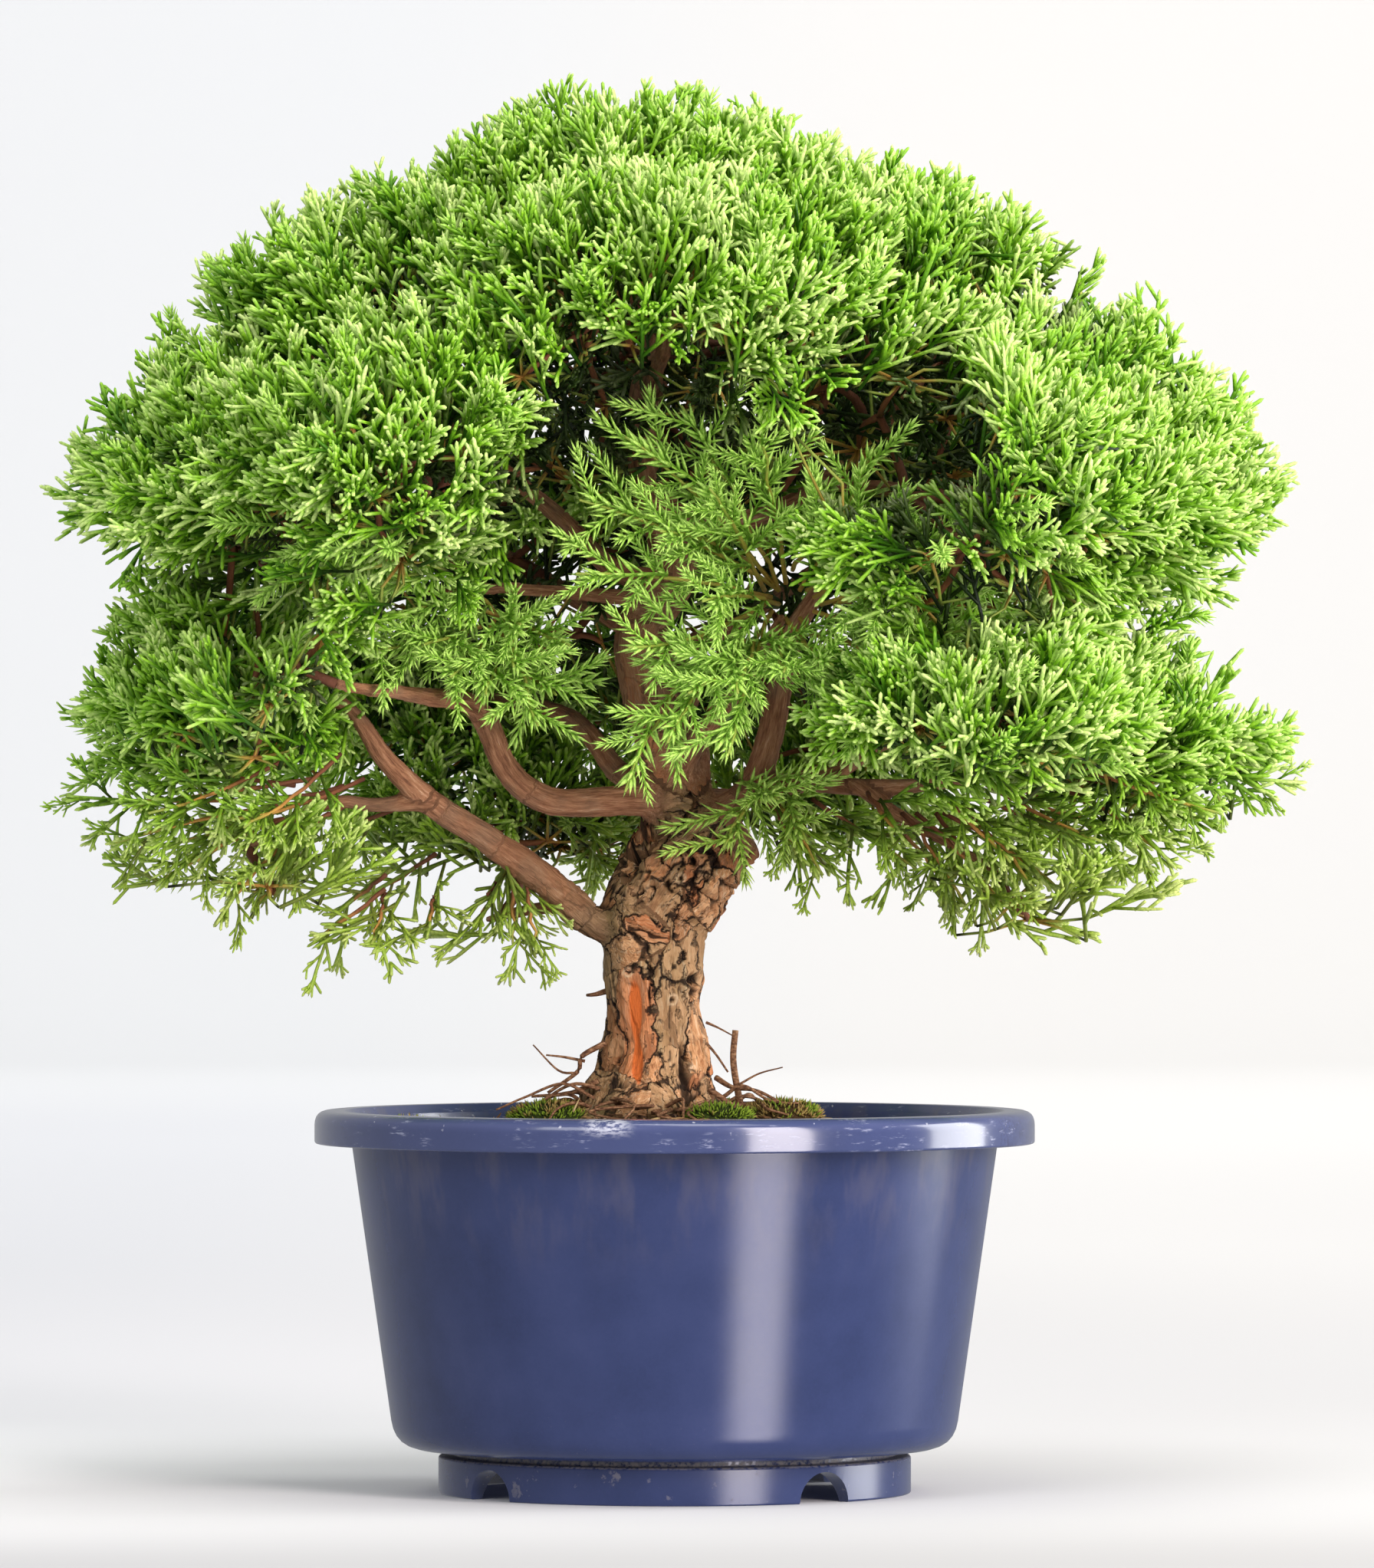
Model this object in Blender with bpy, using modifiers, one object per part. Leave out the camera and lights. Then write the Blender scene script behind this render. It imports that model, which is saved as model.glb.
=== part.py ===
"""A small bonsai juniper in a round plastic training pot.

Metres, +Z up. The origin is on the ground under the centre of the pot, and -Y is the front.
The tree's own points are in millimetres from the point where the trunk's axis meets the soil.
"""

import math

import bmesh
import bpy
from mathutils import Vector

MM = 0.001
FIT_GAP = 0.3  # mm, between pieces that touch

# ---------------------------------------------------------------- pot, mm
RIM_RADIUS = 105.0
POT_HEIGHT = 111.4
RIM_HEIGHT = 9.6
RIM_WIDTH = 8.7  # flat top of the rim and its rounding, from the mouth outwards
RIM_OVERHANG = 10.7  # how far the rim stands out from the wall
RIM_ROUNDING = 4.5
RIM_SKIRT = 3.0
RIM_GROOVE_DEPTH = 3.0
MOUTH_CHAMFER = 1.6
WALL = 2.6
WALL_TAPER = 12.8  # how much narrower the wall is at its foot than at the rim, on the radius
BODY_CORNER_RADIUS = 15.0
FOOT_INSET = 12.6  # how far the foot ring stands in from the foot of the wall
FOOT_HEIGHT = 11.0
FOOT_WALL = 4.0
FOOT_NECK = 4.5  # how far the neck above the foot ring stands back from it
NECK_HEIGHT = 2.0
FLOOR = 3.0
ARCH_WIDTH = 18.0
ARCH_TURN = 39.0  # degrees, from the +X axis to the first arch
ARCH_COUNT = 4
DRAIN_RADIUS = 6.0
DRAIN_CIRCLE = 32.0
DRAIN_COUNT = 6
POT_SIDES = 40

# ---------------------------------------------------------------- soil and moss, mm
SOIL_BELOW_RIM = 6.8  # at the wall
SOIL_MOUND = 6.0  # how much higher the soil is at the trunk
MOSS_SINK = 0.45  # share of a cushion's height that lies in the soil

# name, x, y, length, width, height
MOSS = (
    ("moss_left", -36.0, -12.0, 27.0, 22.0, 10.0),
    ("moss_front", 13.0, -27.0, 20.0, 14.0, 8.0),
    ("moss_right", 31.0, -9.0, 25.0, 20.0, 10.0),
    ("moss_far_left", -78.0, -14.0, 19.0, 15.0, 8.0),
    ("moss_back", 6.0, 34.0, 34.0, 20.0, 9.0),
)

# ---------------------------------------------------------------- tree
TRUNK_OFFSET = (-6.0, 0.0)  # where the trunk's axis meets the soil, mm from the pot's axis
TRUNK_SCALE = 1.0  # thickness of the trunk, branches and roots
CROWN_SCALE = 1.0  # size of the tree above the soil
TRUNK_SIDES_RESOLUTION = 4  # 12 sides
LIMB_SIDES_RESOLUTION = 1  # 6 sides

# Each route is a run of (x, y, z, radius), mm from the soil's top at the trunk.
TRUNK = (
    (1, 0, -22, 11),
    (0, 0, -12, 17),
    (-1, 0, 2, 20.5),
    (0, 0, 11, 16.5),
    (0.5, 0, 22, 14.5),
    (-0.3, 0, 36, 14),
    (-0.3, 0, 50, 15),
    (2, 0, 60, 18),
    (8, 0, 71, 20),
    (8, 0, 80, 15),
    (6, -1, 89, 11),
    (4.7, -1, 107, 10),
    (-2.2, 0, 125, 8),
    (-3.8, 2, 141, 7.5),
    (6, 3, 160, 7),
    (-2, 3, 187, 5.5),
    (-2, 4, 214, 4.5),
    (4, 2, 239, 3),
    (2, 0, 256, 2),
)
ROOTS = (
    ((-4, -4, -3, 12), (-20, -14, -7, 7.5), (-36, -22, -15, 4.5), (-50, -30, -28, 2.5)),
    ((6, -6, -3, 11), (16, -18, -7, 7.5), (26, -34, -15, 4.5), (34, -46, -28, 2.5)),
    ((8, 4, -3, 11), (24, 8, -7, 7), (40, 14, -15, 4.5), (56, 18, -28, 2.5)),
    ((0, 8, -3, 11), (2, 24, -8, 7), (4, 40, -17, 4.5), (8, 54, -30, 2.5)),
    ((-8, 4, -3, 11), (-24, 12, -8, 6.5), (-38, 22, -17, 4), (-50, 30, -30, 2.5)),
)
SNAGS = (
    ((14, 0, 66, 11), (26, -2, 72, 9), (33, -3, 75, 5.5)),
    ((-6, -2, 12, 2), (-22, -5, 12.5, 1.2), (-40, -8, 18, 0.7)),
    ((8, -2, 10, 2), (22, -6, 7, 1.6), (30, -6, 11, 1.5), (30, -6, 25, 1.4)),
    ((-8, 4, 55, 3), (-26, 8, 60, 2.4), (-38, 10, 59, 2), (-50, 12, 56, 1.4)),
)
LIMBS = (
    # low left limb and its side shoot
    ((-3, -2, 52, 6), (-17, -4, 56, 5.2), (-31, -8, 68, 4.8), (-44.5, -12, 77.5, 4.5),
     (-63, -18, 89, 4), (-76.5, -22, 103, 3.2), (-87, -26, 116, 2.6), (-106, -28, 126, 1.8)),
    ((-66, -19, 91, 3), (-81, -18, 89, 2.5), (-95, -18, 90, 2.2), (-118, -22, 78, 1.6)),
    # elbow limb, second on the left
    ((4, -3, 91, 5.5), (-8, -8, 91, 4.5), (-26, -14, 90, 4.4), (-38, -18, 94, 4.2), (-44.5, -20, 102, 4),
     (-50, -24, 114, 3.8), (-56, -34, 120, 3.2), (-72, -52, 122, 2.5), (-90, -80, 124, 1.8)),
    # third on the left, going back
    ((2, 2, 96, 5), (-9, 8, 99, 3.8), (-19, 18, 110, 3.3), (-30, 34, 118, 2.8), (-50, 62, 122, 2.2),
     (-70, 86, 124, 1.7)),
    # thin level limb
    ((-1, -1, 150, 3), (-22, -10, 152, 2.2), (-40, -16, 152.5, 2), (-52, -24, 154, 2),
     (-60, -40, 166, 1.8), (-66, -72, 182, 1.4)),
    # upper left limb and its fork
    ((3, 3, 154, 4), (-10, 2, 158, 3.3), (-25, 2, 171, 3), (-36, 0, 181, 2.8), (-58, 0, 200, 2.3),
     (-80, 0, 220, 1.7)),
    ((-50, 0, 193, 2.4), (-80, -4, 186, 2.1), (-112, -6, 180, 1.6)),
    # right limb, its upper and its level arms
    ((8, 0, 82, 6), (22, -2, 89, 4.6), (29, -4, 96, 4.3), (34, -6, 110, 4), (38, -8, 128, 3.6),
     (42, -12, 142, 3.2), (54, -26, 160, 2.5), (74, -66, 178, 1.7)),
    ((27, -4, 94, 3.8), (45, -6, 97, 3.1), (61, -8, 96, 2.8), (82, -10, 96, 2.4), (118, -10, 104, 1.7)),
    ((58, -8, 96, 2.4), (78, -14, 82, 2), (100, -20, 70, 1.5)),
    # upper right limb and its fork
    ((2, 2, 176, 4), (20, 2, 172, 3.3), (40, 0, 178, 3), (58, 2, 192, 2.6), (78, 2, 212, 2),
     (88, 2, 224, 1.6)),
    ((48, 0, 184, 2.6), (78, 6, 182, 2.2), (112, 10, 182, 1.6)),
    # back limbs
    ((4, 2, 112, 4.5), (10, 24, 122, 3.6), (8, 54, 130, 3), (4, 84, 132, 2.3), (4, 112, 132, 1.6)),
    ((0, 3, 132, 4), (22, 28, 142, 3), (46, 54, 158, 2.3), (66, 78, 170, 1.7)),
    ((-2, 3, 140, 4), (-22, 30, 150, 3), (-42, 58, 162, 2.3), (-62, 80, 172, 1.7)),
    ((6, 4, 92, 4.5), (24, 26, 92, 3.4), (50, 54, 100, 2.6), (76, 80, 110, 1.7)),
    ((2, 6, 152, 3.4), (4, 40, 166, 2.4), (2, 84, 172, 1.9), (2, 112, 170, 1.5)),
    # front limbs
    ((6, -3, 98, 4), (14, -18, 110, 3), (26, -36, 126, 2.4), (38, -50, 144, 1.8)),
    ((28, -6, 92, 3), (52, -34, 100, 2.3), (80, -72, 114, 1.6)),
    ((0, 0, 212, 3.4), (2, -22, 220, 2.6), (4, -52, 226, 2), (4, -76, 230, 1.5)),
    ((0, 2, 210, 3.4), (0, 30, 218, 2.6), (0, 58, 226, 2), (0, 80, 230, 1.5)),
)

# name, centre x, y, z, half sizes in x, y, z, mm from the pot's axis and the soil's top at the trunk
FOLIAGE = (
    ("foliage_crown_top", -8, 0, 253, 70, 64, 47.4),
    ("foliage_crown_front", -4, -90, 232, 64, 50, 42),
    ("foliage_crown_back", -4, 92, 230, 64, 52, 44),
    ("foliage_crown_left", -92, 0, 223, 50, 64, 45),
    ("foliage_crown_right", 88, 0, 225, 47, 62, 45),
    ("foliage_upper_left", -136, -4, 176, 44.5, 68, 49),
    ("foliage_upper_right", 134, 4, 180, 43, 68, 48),
    ("foliage_upper_front_left", -76, -108, 181, 56, 58, 48),
    ("foliage_upper_front_right", 80, -108, 178, 56, 58, 48),
    ("foliage_upper_back_left", -76, 108, 174, 60, 58, 48),
    ("foliage_upper_back_right", 78, 108, 174, 58, 58, 48),
    ("foliage_upper_back", 0, 125, 168, 46, 43, 44),
    ("foliage_mid_left", -134, -20, 116, 46, 62, 33),
    ("foliage_mid_right", 138, -6, 108, 45, 64, 37),
    ("foliage_mid_front_left", -92, -98, 120, 48, 52, 29),
    ("foliage_mid_front_right", 88, -94, 114, 54, 56, 35),
    ("foliage_mid_back_left", -86, 96, 114, 60, 54, 35),
    ("foliage_mid_back_right", 88, 94, 112, 60, 54, 37),
    ("foliage_mid_back", 2, 124, 118, 48, 42, 29),
    ("foliage_low_left", -120, -22, 72, 48, 44, 21),
    ("foliage_low_right", 104, -22, 64, 50, 44, 23),
    ("foliage_low_snag", -70, 14, 54, 36, 20, 11),
    ("foliage_front_sprigs", 42, -54, 146, 32, 26, 38),
    ("foliage_elbow_sprigs", -52, -40, 118, 18, 16, 22),
)
FOLIAGE_SIDES = 12
FOLIAGE_RINGS = 6
UNDERSIDE_FLATNESS = 0.78  # a foliage mass hangs less far below its middle than it rises above it
OVERLAP_SLACK = 1.0  # mm, boxes this close are cut clear of each other

# ---------------------------------------------------------------- derived sizes and places, mm
MOUTH_RADIUS = RIM_RADIUS - RIM_WIDTH
BODY_TOP_RADIUS = RIM_RADIUS - RIM_OVERHANG
BODY_FOOT_RADIUS = BODY_TOP_RADIUS - WALL_TAPER
FOOT_RADIUS = BODY_FOOT_RADIUS - FOOT_INSET
BODY_TOP = POT_HEIGHT - RIM_HEIGHT
NECK_RADIUS = FOOT_RADIUS - FOOT_NECK
BODY_BOTTOM = FOOT_HEIGHT + NECK_HEIGHT
CORNER_TOP = BODY_BOTTOM + BODY_CORNER_RADIUS
FLOOR_TOP = BODY_BOTTOM + FLOOR
SOIL_EDGE = POT_HEIGHT - SOIL_BELOW_RIM
SOIL_TOP = SOIL_EDGE + SOIL_MOUND


def collection_of(name):
    found = bpy.data.collections.new(name)
    bpy.context.scene.collection.children.link(found)
    return found


def finish(name, colour, roughness):
    """A Principled material with one plain colour, not metallic."""
    material = bpy.data.materials.new(name)
    material.use_nodes = True
    shader = material.node_tree.nodes["Principled BSDF"]
    shader.inputs["Base Color"].default_value = (*colour, 1.0)
    shader.inputs["Roughness"].default_value = roughness
    shader.inputs["Metallic"].default_value = 0.0
    return material


def add_object(name, mesh, material, collection):
    item = bpy.data.objects.new(name, mesh)
    mesh.materials.clear()
    if material:
        mesh.materials.append(material)
    collection.objects.link(item)
    return item


def make_helper(item):
    item.hide_render = True
    item.display_type = "WIRE"


def arc(centre_r, centre_z, radius, start, end, steps):
    """Points (r, z) on a round stretch of a profile, angles in degrees from the +r direction."""
    angles = [math.radians(start + (end - start) * step / steps) for step in range(steps + 1)]
    return [(centre_r + radius * math.cos(a), centre_z + radius * math.sin(a)) for a in angles]


def turned(name, profile, material, collection):
    """A body turned about Z from (r, z) points in mm, from the axis over the outside and back."""
    mesh = bpy.data.meshes.new(name)
    points = [(r * MM, 0.0, z * MM) for r, z in profile]
    mesh.from_pydata(points, [(i, i + 1) for i in range(len(points) - 1)], [])
    item = add_object(name, mesh, material, collection)
    screw = item.modifiers.new("turn", "SCREW")
    screw.steps = POT_SIDES
    screw.render_steps = POT_SIDES
    screw.use_merge_vertices = True
    screw.merge_threshold = 0.0001
    screw.use_normal_calculate = False
    return item


def cut(item, cutter):
    boolean = item.modifiers.new("cut_" + cutter.name, "BOOLEAN")
    boolean.operation = "DIFFERENCE"
    boolean.solver = "EXACT"
    boolean.object = cutter


def tube(name, route, grown, resolution, collection):
    """A closed mesh tube along a route of (x, y, z, radius) in metres, its radius and its ends
    larger by grown."""
    curve = bpy.data.curves.new("route", "CURVE")
    curve.dimensions = "3D"
    curve.bevel_depth = MM
    curve.bevel_resolution = resolution
    curve.use_fill_caps = True
    spline = curve.splines.new("POLY")
    spline.points.add(len(route) - 1)
    places = [Vector(point[:3]) for point in route]
    first = (places[0] - places[1]).normalized() * grown
    last = (places[-1] - places[-2]).normalized() * grown
    places[0] += first
    places[-1] += last
    for point, place, source in zip(spline.points, places, route):
        point.co = (*place, 1.0)
        point.radius = (source[3] + grown) / MM
    item = bpy.data.objects.new("route", curve)
    collection.objects.link(item)
    bpy.context.view_layer.update()
    graph = bpy.context.evaluated_depsgraph_get()
    mesh = bpy.data.meshes.new_from_object(item.evaluated_get(graph))
    shell = bmesh.new()
    shell.from_mesh(mesh)
    bmesh.ops.remove_doubles(shell, verts=shell.verts, dist=0.00001)
    shell.to_mesh(mesh)
    shell.free()
    solid = bpy.data.objects.new(name, mesh)
    solid.matrix_world = item.matrix_world.copy()
    bpy.data.objects.remove(item)
    collection.objects.link(solid)
    return solid


# %% the tree's frame: millimetres from the soil's top at the trunk


def tree_route(route):
    """A route's points in metres, in the pot's frame. Below the soil the crown's scale is left out."""
    placed = []
    for x, y, z, radius in route:
        scale = CROWN_SCALE if z > 0 else 1.0
        placed.append((
            (TRUNK_OFFSET[0] + x * scale) * MM,
            (TRUNK_OFFSET[1] + y * scale) * MM,
            (SOIL_TOP + z * scale) * MM,
            radius * TRUNK_SCALE * MM,
        ))
    return placed


def wood(name, grown, material, collection, cutters):
    """The trunk with its roots, limbs and snags joined to it, all larger by grown (metres)."""
    item = tube(name, tree_route(TRUNK), grown, TRUNK_SIDES_RESOLUTION, collection)
    if material:
        item.data.materials.append(material)
    for index, route in enumerate(ROOTS + SNAGS + LIMBS):
        part = tube(f"{name}_part_{index}", tree_route(route), grown, LIMB_SIDES_RESOLUTION, cutters)
        make_helper(part)
        union = item.modifiers.new(f"join_{index}", "BOOLEAN")
        union.operation = "UNION"
        union.solver = "EXACT"
        union.object = part
    return item


# %% pot


def wall_radius(z):
    """Outer radius of the straight wall at height z, mm."""
    share = (z - CORNER_TOP) / (BODY_TOP - CORNER_TOP)
    return BODY_FOOT_RADIUS + (BODY_TOP_RADIUS - BODY_FOOT_RADIUS) * share


def inside_profile(clearance):
    """The inner side of the pot from the axis to the top of the straight wall, moved inwards."""
    inner_corner = BODY_CORNER_RADIUS - WALL
    shift = WALL + clearance
    floor = FLOOR_TOP + clearance
    corner = arc(
        BODY_FOOT_RADIUS - BODY_CORNER_RADIUS,
        floor + inner_corner - clearance,
        inner_corner - clearance,
        -90.0,
        0.0,
        4,
    )
    return [(0.0, floor), *corner, (BODY_TOP_RADIUS - shift, BODY_TOP)]


def make_pot(material, parts, cutters):
    skirt_inner = RIM_RADIUS - RIM_SKIRT
    inside = inside_profile(0.0)
    rim = [
        (MOUTH_RADIUS - MOUTH_CHAMFER, POT_HEIGHT - MOUTH_CHAMFER),
        (MOUTH_RADIUS, POT_HEIGHT),
        *arc(RIM_RADIUS - RIM_ROUNDING, POT_HEIGHT - RIM_ROUNDING, RIM_ROUNDING, 90.0, 0.0, 3),
        (RIM_RADIUS, BODY_TOP),
        (skirt_inner, BODY_TOP),
        (skirt_inner, BODY_TOP + RIM_GROOVE_DEPTH),
        (wall_radius(BODY_TOP + RIM_GROOVE_DEPTH), BODY_TOP + RIM_GROOVE_DEPTH),
    ]
    corner = arc(
        BODY_FOOT_RADIUS - BODY_CORNER_RADIUS, CORNER_TOP, BODY_CORNER_RADIUS, 0.0, -90.0, 5
    )
    foot = [
        (NECK_RADIUS, BODY_BOTTOM),
        (NECK_RADIUS, FOOT_HEIGHT),
        (FOOT_RADIUS, FOOT_HEIGHT),
        (FOOT_RADIUS, 0.0),
        (FOOT_RADIUS - FOOT_WALL, 0.0),
        (NECK_RADIUS - FOOT_WALL, BODY_BOTTOM),
        (0.0, BODY_BOTTOM),
    ]
    pot = turned("pot", inside + rim + corner + foot, material, parts)

    for index in range(ARCH_COUNT):
        turn = math.radians(ARCH_TURN + 360.0 * index / ARCH_COUNT)
        bpy.ops.mesh.primitive_cylinder_add(
            vertices=20,
            radius=ARCH_WIDTH / 2 * MM,
            depth=FOOT_WALL * 4 * MM,
            location=(
                FOOT_RADIUS * math.cos(turn) * MM,
                FOOT_RADIUS * math.sin(turn) * MM,
                0.0,
            ),
            rotation=(math.pi / 2, 0.0, turn + math.pi / 2),
        )
        cut(pot, adopt_cutter(f"arch_cutter_{index}", cutters))
    for index in range(DRAIN_COUNT):
        turn = math.tau * index / DRAIN_COUNT
        bpy.ops.mesh.primitive_cylinder_add(
            vertices=12,
            radius=DRAIN_RADIUS * MM,
            depth=FLOOR * 3 * MM,
            location=(
                DRAIN_CIRCLE * math.cos(turn) * MM,
                DRAIN_CIRCLE * math.sin(turn) * MM,
                (BODY_BOTTOM + FLOOR / 2) * MM,
            ),
        )
        cut(pot, adopt_cutter(f"drain_cutter_{index}", cutters))
    return pot


def adopt_cutter(name, cutters):
    """Names the primitive just added and moves it among the cutters."""
    item = bpy.context.object
    item.name = name
    for owner in list(item.users_collection):
        owner.objects.unlink(item)
    cutters.objects.link(item)
    make_helper(item)
    return item


# %% soil and moss


def soil_height(radius):
    """Height of the soil's top at a distance from the pot's axis, mm."""
    share = min(1.0, radius / BODY_TOP_RADIUS)
    return SOIL_EDGE + SOIL_MOUND * (0.5 + 0.5 * math.cos(math.pi * share))


def make_soil(material, parts):
    inside = inside_profile(FIT_GAP)
    wall_top, wall_top_z = inside[-1]
    corner_r, corner_z = inside[-2]
    edge_share = (SOIL_EDGE - corner_z) / (wall_top_z - corner_z)
    edge = corner_r + (wall_top - corner_r) * edge_share if edge_share < 1.0 else wall_top
    rings = [edge * share for share in (0.8, 0.6, 0.4, 0.2)]
    top = [(0.0, soil_height(0.0))]
    top += [(radius, soil_height(radius)) for radius in reversed(rings)]
    top += [(edge, min(SOIL_EDGE, wall_top_z + MOUTH_RADIUS - edge))]
    if edge_share > 1.0:
        top.append((wall_top, wall_top_z))
    sides = list(reversed(inside[1:-1]))
    return turned("soil", top + sides + [(0.0, FLOOR_TOP + FIT_GAP)], material, parts)


def lens(name, place, half, grown, material, collection):
    """A flattened ball, every half size larger by grown. All in mm."""
    shell = bmesh.new()
    bmesh.ops.create_uvsphere(shell, u_segments=FOLIAGE_SIDES, v_segments=6, radius=1.0)
    for vertex in shell.verts:
        vertex.co = Vector((
            (place[0] + vertex.co.x * (half[0] + grown)) * MM,
            (place[1] + vertex.co.y * (half[1] + grown)) * MM,
            (place[2] + vertex.co.z * (half[2] + grown)) * MM,
        ))
    mesh = bpy.data.meshes.new(name)
    shell.to_mesh(mesh)
    shell.free()
    return add_object(name, mesh, material, collection)


def make_moss(soil, wood_clearance, material, parts, cutters):
    for name, x, y, length, width, height in MOSS:
        ground = soil_height(math.hypot(x, y))
        place = (x, y, ground + height * (0.5 - MOSS_SINK))
        half = (length / 2, width / 2, height / 2)
        cushion = lens(name, place, half, 0.0, material, parts)
        cut(cushion, wood_clearance)
        seat = lens(name + "_seat", place, half, FIT_GAP * 2, None, cutters)
        make_helper(seat)
        cut(soil, seat)


# %% foliage


def foliage_solid(name, row, grown, material, collection):
    """One mass of leaves: a ball with a domed top and a flatter underside. All in mm."""
    _, x, y, z, half_x, half_y, half_z = row
    shell = bmesh.new()
    bmesh.ops.create_uvsphere(shell, u_segments=FOLIAGE_SIDES, v_segments=FOLIAGE_RINGS, radius=1.0)
    for vertex in shell.verts:
        rise = vertex.co.z if vertex.co.z > 0 else vertex.co.z * UNDERSIDE_FLATNESS
        vertex.co = Vector((
            (x * CROWN_SCALE + vertex.co.x * (half_x * CROWN_SCALE + grown)) * MM,
            (y * CROWN_SCALE + vertex.co.y * (half_y * CROWN_SCALE + grown)) * MM,
            (SOIL_TOP + z * CROWN_SCALE + rise * (half_z * CROWN_SCALE + grown)) * MM,
        ))
    mesh = bpy.data.meshes.new(name)
    shell.to_mesh(mesh)
    shell.free()
    return add_object(name, mesh, material, collection)


def boxes_meet(row, other):
    """Whether two foliage masses' boxes come near each other."""
    for axis in (1, 2, 3):
        apart = abs(row[axis] - other[axis]) - row[axis + 3] - other[axis + 3]
        if apart > OVERLAP_SLACK:
            return False
    return True


def make_foliage(wood_clearance, material, parts, cutters):
    """Each mass is cut clear of the wood and of the masses before it."""
    earlier = []
    for row in FOLIAGE:
        name = row[0]
        mass = foliage_solid(name, row, 0.0, material, parts)
        for other, cutter in earlier:
            if boxes_meet(row, other):
                cut(mass, cutter)
        cut(mass, wood_clearance)
        grown = foliage_solid(name + "_clearance", row, FIT_GAP * 2, None, cutters)
        make_helper(grown)
        earlier.append((row, grown))


def main():
    for item in list(bpy.data.objects):
        bpy.data.objects.remove(item)
    parts = collection_of("bonsai_in_pot")
    cutters = collection_of("cutters")
    blue_plastic = finish("blue_plastic", (0.055, 0.06, 0.19), 0.38)
    dark_soil = finish("dark_soil", (0.05, 0.032, 0.02), 0.95)
    bark = finish("bark", (0.3, 0.13, 0.06), 0.85)
    leaves = finish("leaves", (0.11, 0.35, 0.05), 0.55)
    green_moss = finish("green_moss", (0.12, 0.2, 0.03), 0.9)

    make_pot(blue_plastic, parts, cutters)
    clearance = wood("wood_clearance", FIT_GAP * MM, None, cutters, cutters)
    make_helper(clearance)
    wood("trunk_and_branches", 0.0, bark, parts, cutters)
    soil = make_soil(dark_soil, parts)
    make_moss(soil, clearance, green_moss, parts, cutters)
    cut(soil, clearance)
    make_foliage(clearance, leaves, parts, cutters)
    for item in parts.objects:
        item.data.shade_smooth()
        item.data.set_sharp_from_angle(angle=math.radians(35.0))


main()
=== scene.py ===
# %% [markdown]
# # A bonsai juniper in a round training pot
# The real object is a small juniper that has been pruned for years into a broad dome, with a thick
# flaking trunk, standing in the plain blue plastic pot that growers use before a tree gets its good one.
# The fixed frame gives every piece its place and size. This lesson builds the looks around it: the pot
# is turned, the wood is grown from routes and given its bark, and one leaf cord and one needle are
# modelled by hand and then copied many thousands of times onto twigs.

import math

import bpy
import numpy as np
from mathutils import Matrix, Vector, kdtree, noise


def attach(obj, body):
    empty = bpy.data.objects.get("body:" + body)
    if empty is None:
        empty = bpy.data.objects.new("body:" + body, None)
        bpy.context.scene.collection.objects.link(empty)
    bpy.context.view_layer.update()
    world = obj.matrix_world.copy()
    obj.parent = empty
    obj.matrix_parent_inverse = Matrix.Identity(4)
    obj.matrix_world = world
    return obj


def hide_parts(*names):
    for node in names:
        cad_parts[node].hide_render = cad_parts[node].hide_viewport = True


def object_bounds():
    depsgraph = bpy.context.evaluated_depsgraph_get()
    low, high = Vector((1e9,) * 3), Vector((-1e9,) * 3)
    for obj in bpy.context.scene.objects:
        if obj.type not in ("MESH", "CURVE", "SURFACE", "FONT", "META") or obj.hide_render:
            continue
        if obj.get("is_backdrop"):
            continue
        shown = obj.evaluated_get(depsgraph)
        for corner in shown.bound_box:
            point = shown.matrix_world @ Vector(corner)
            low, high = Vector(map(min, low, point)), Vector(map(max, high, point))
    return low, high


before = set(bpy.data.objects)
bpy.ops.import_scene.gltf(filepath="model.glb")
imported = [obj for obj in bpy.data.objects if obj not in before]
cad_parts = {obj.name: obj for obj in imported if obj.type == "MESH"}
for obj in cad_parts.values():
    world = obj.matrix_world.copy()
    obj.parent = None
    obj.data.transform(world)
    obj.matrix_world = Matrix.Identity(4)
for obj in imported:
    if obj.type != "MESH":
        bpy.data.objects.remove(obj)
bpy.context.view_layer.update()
MM = 0.001

# %% [markdown]
# Blender's operators act on whatever is selected, and the frame arrives selected. So every piece starts
# by deselecting everything, and a small helper makes one object the only selected, active one. The other
# helpers pick mesh parts by place, apply a modifier, and turn a drawn curve into a closed body.

# %% Helpers for modelling by hand


def only(obj):
    """Makes obj the only selected object, and the active one."""
    if bpy.context.object and bpy.context.object.mode != "OBJECT":
        bpy.ops.object.mode_set(mode="OBJECT")
    bpy.ops.object.select_all(action="DESELECT")
    obj.select_set(True)
    bpy.context.view_layer.objects.active = obj
    return obj


def nothing_selected():
    bpy.ops.object.select_all(action="DESELECT")
    bpy.context.view_layer.objects.active = None


def edit(obj, kind="FACE"):
    only(obj)
    bpy.ops.object.mode_set(mode="EDIT")
    bpy.ops.mesh.select_mode(type=kind)
    bpy.ops.mesh.select_all(action="DESELECT")


def pick_faces(obj, wanted):
    """Selects, in edit mode, the faces for which wanted(centre, normal) is true."""
    edit(obj)
    bpy.ops.object.mode_set(mode="OBJECT")
    for face in obj.data.polygons:
        face.select = wanted(face.center, face.normal)
    bpy.ops.object.mode_set(mode="EDIT")


def modify(obj, kind, **settings):
    """Adds one modifier and applies it."""
    only(obj)
    modifier = obj.modifiers.new(kind.lower(), kind)
    for key, value in settings.items():
        setattr(modifier, key, value)
    bpy.ops.object.modifier_apply(modifier=modifier.name)


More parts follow.
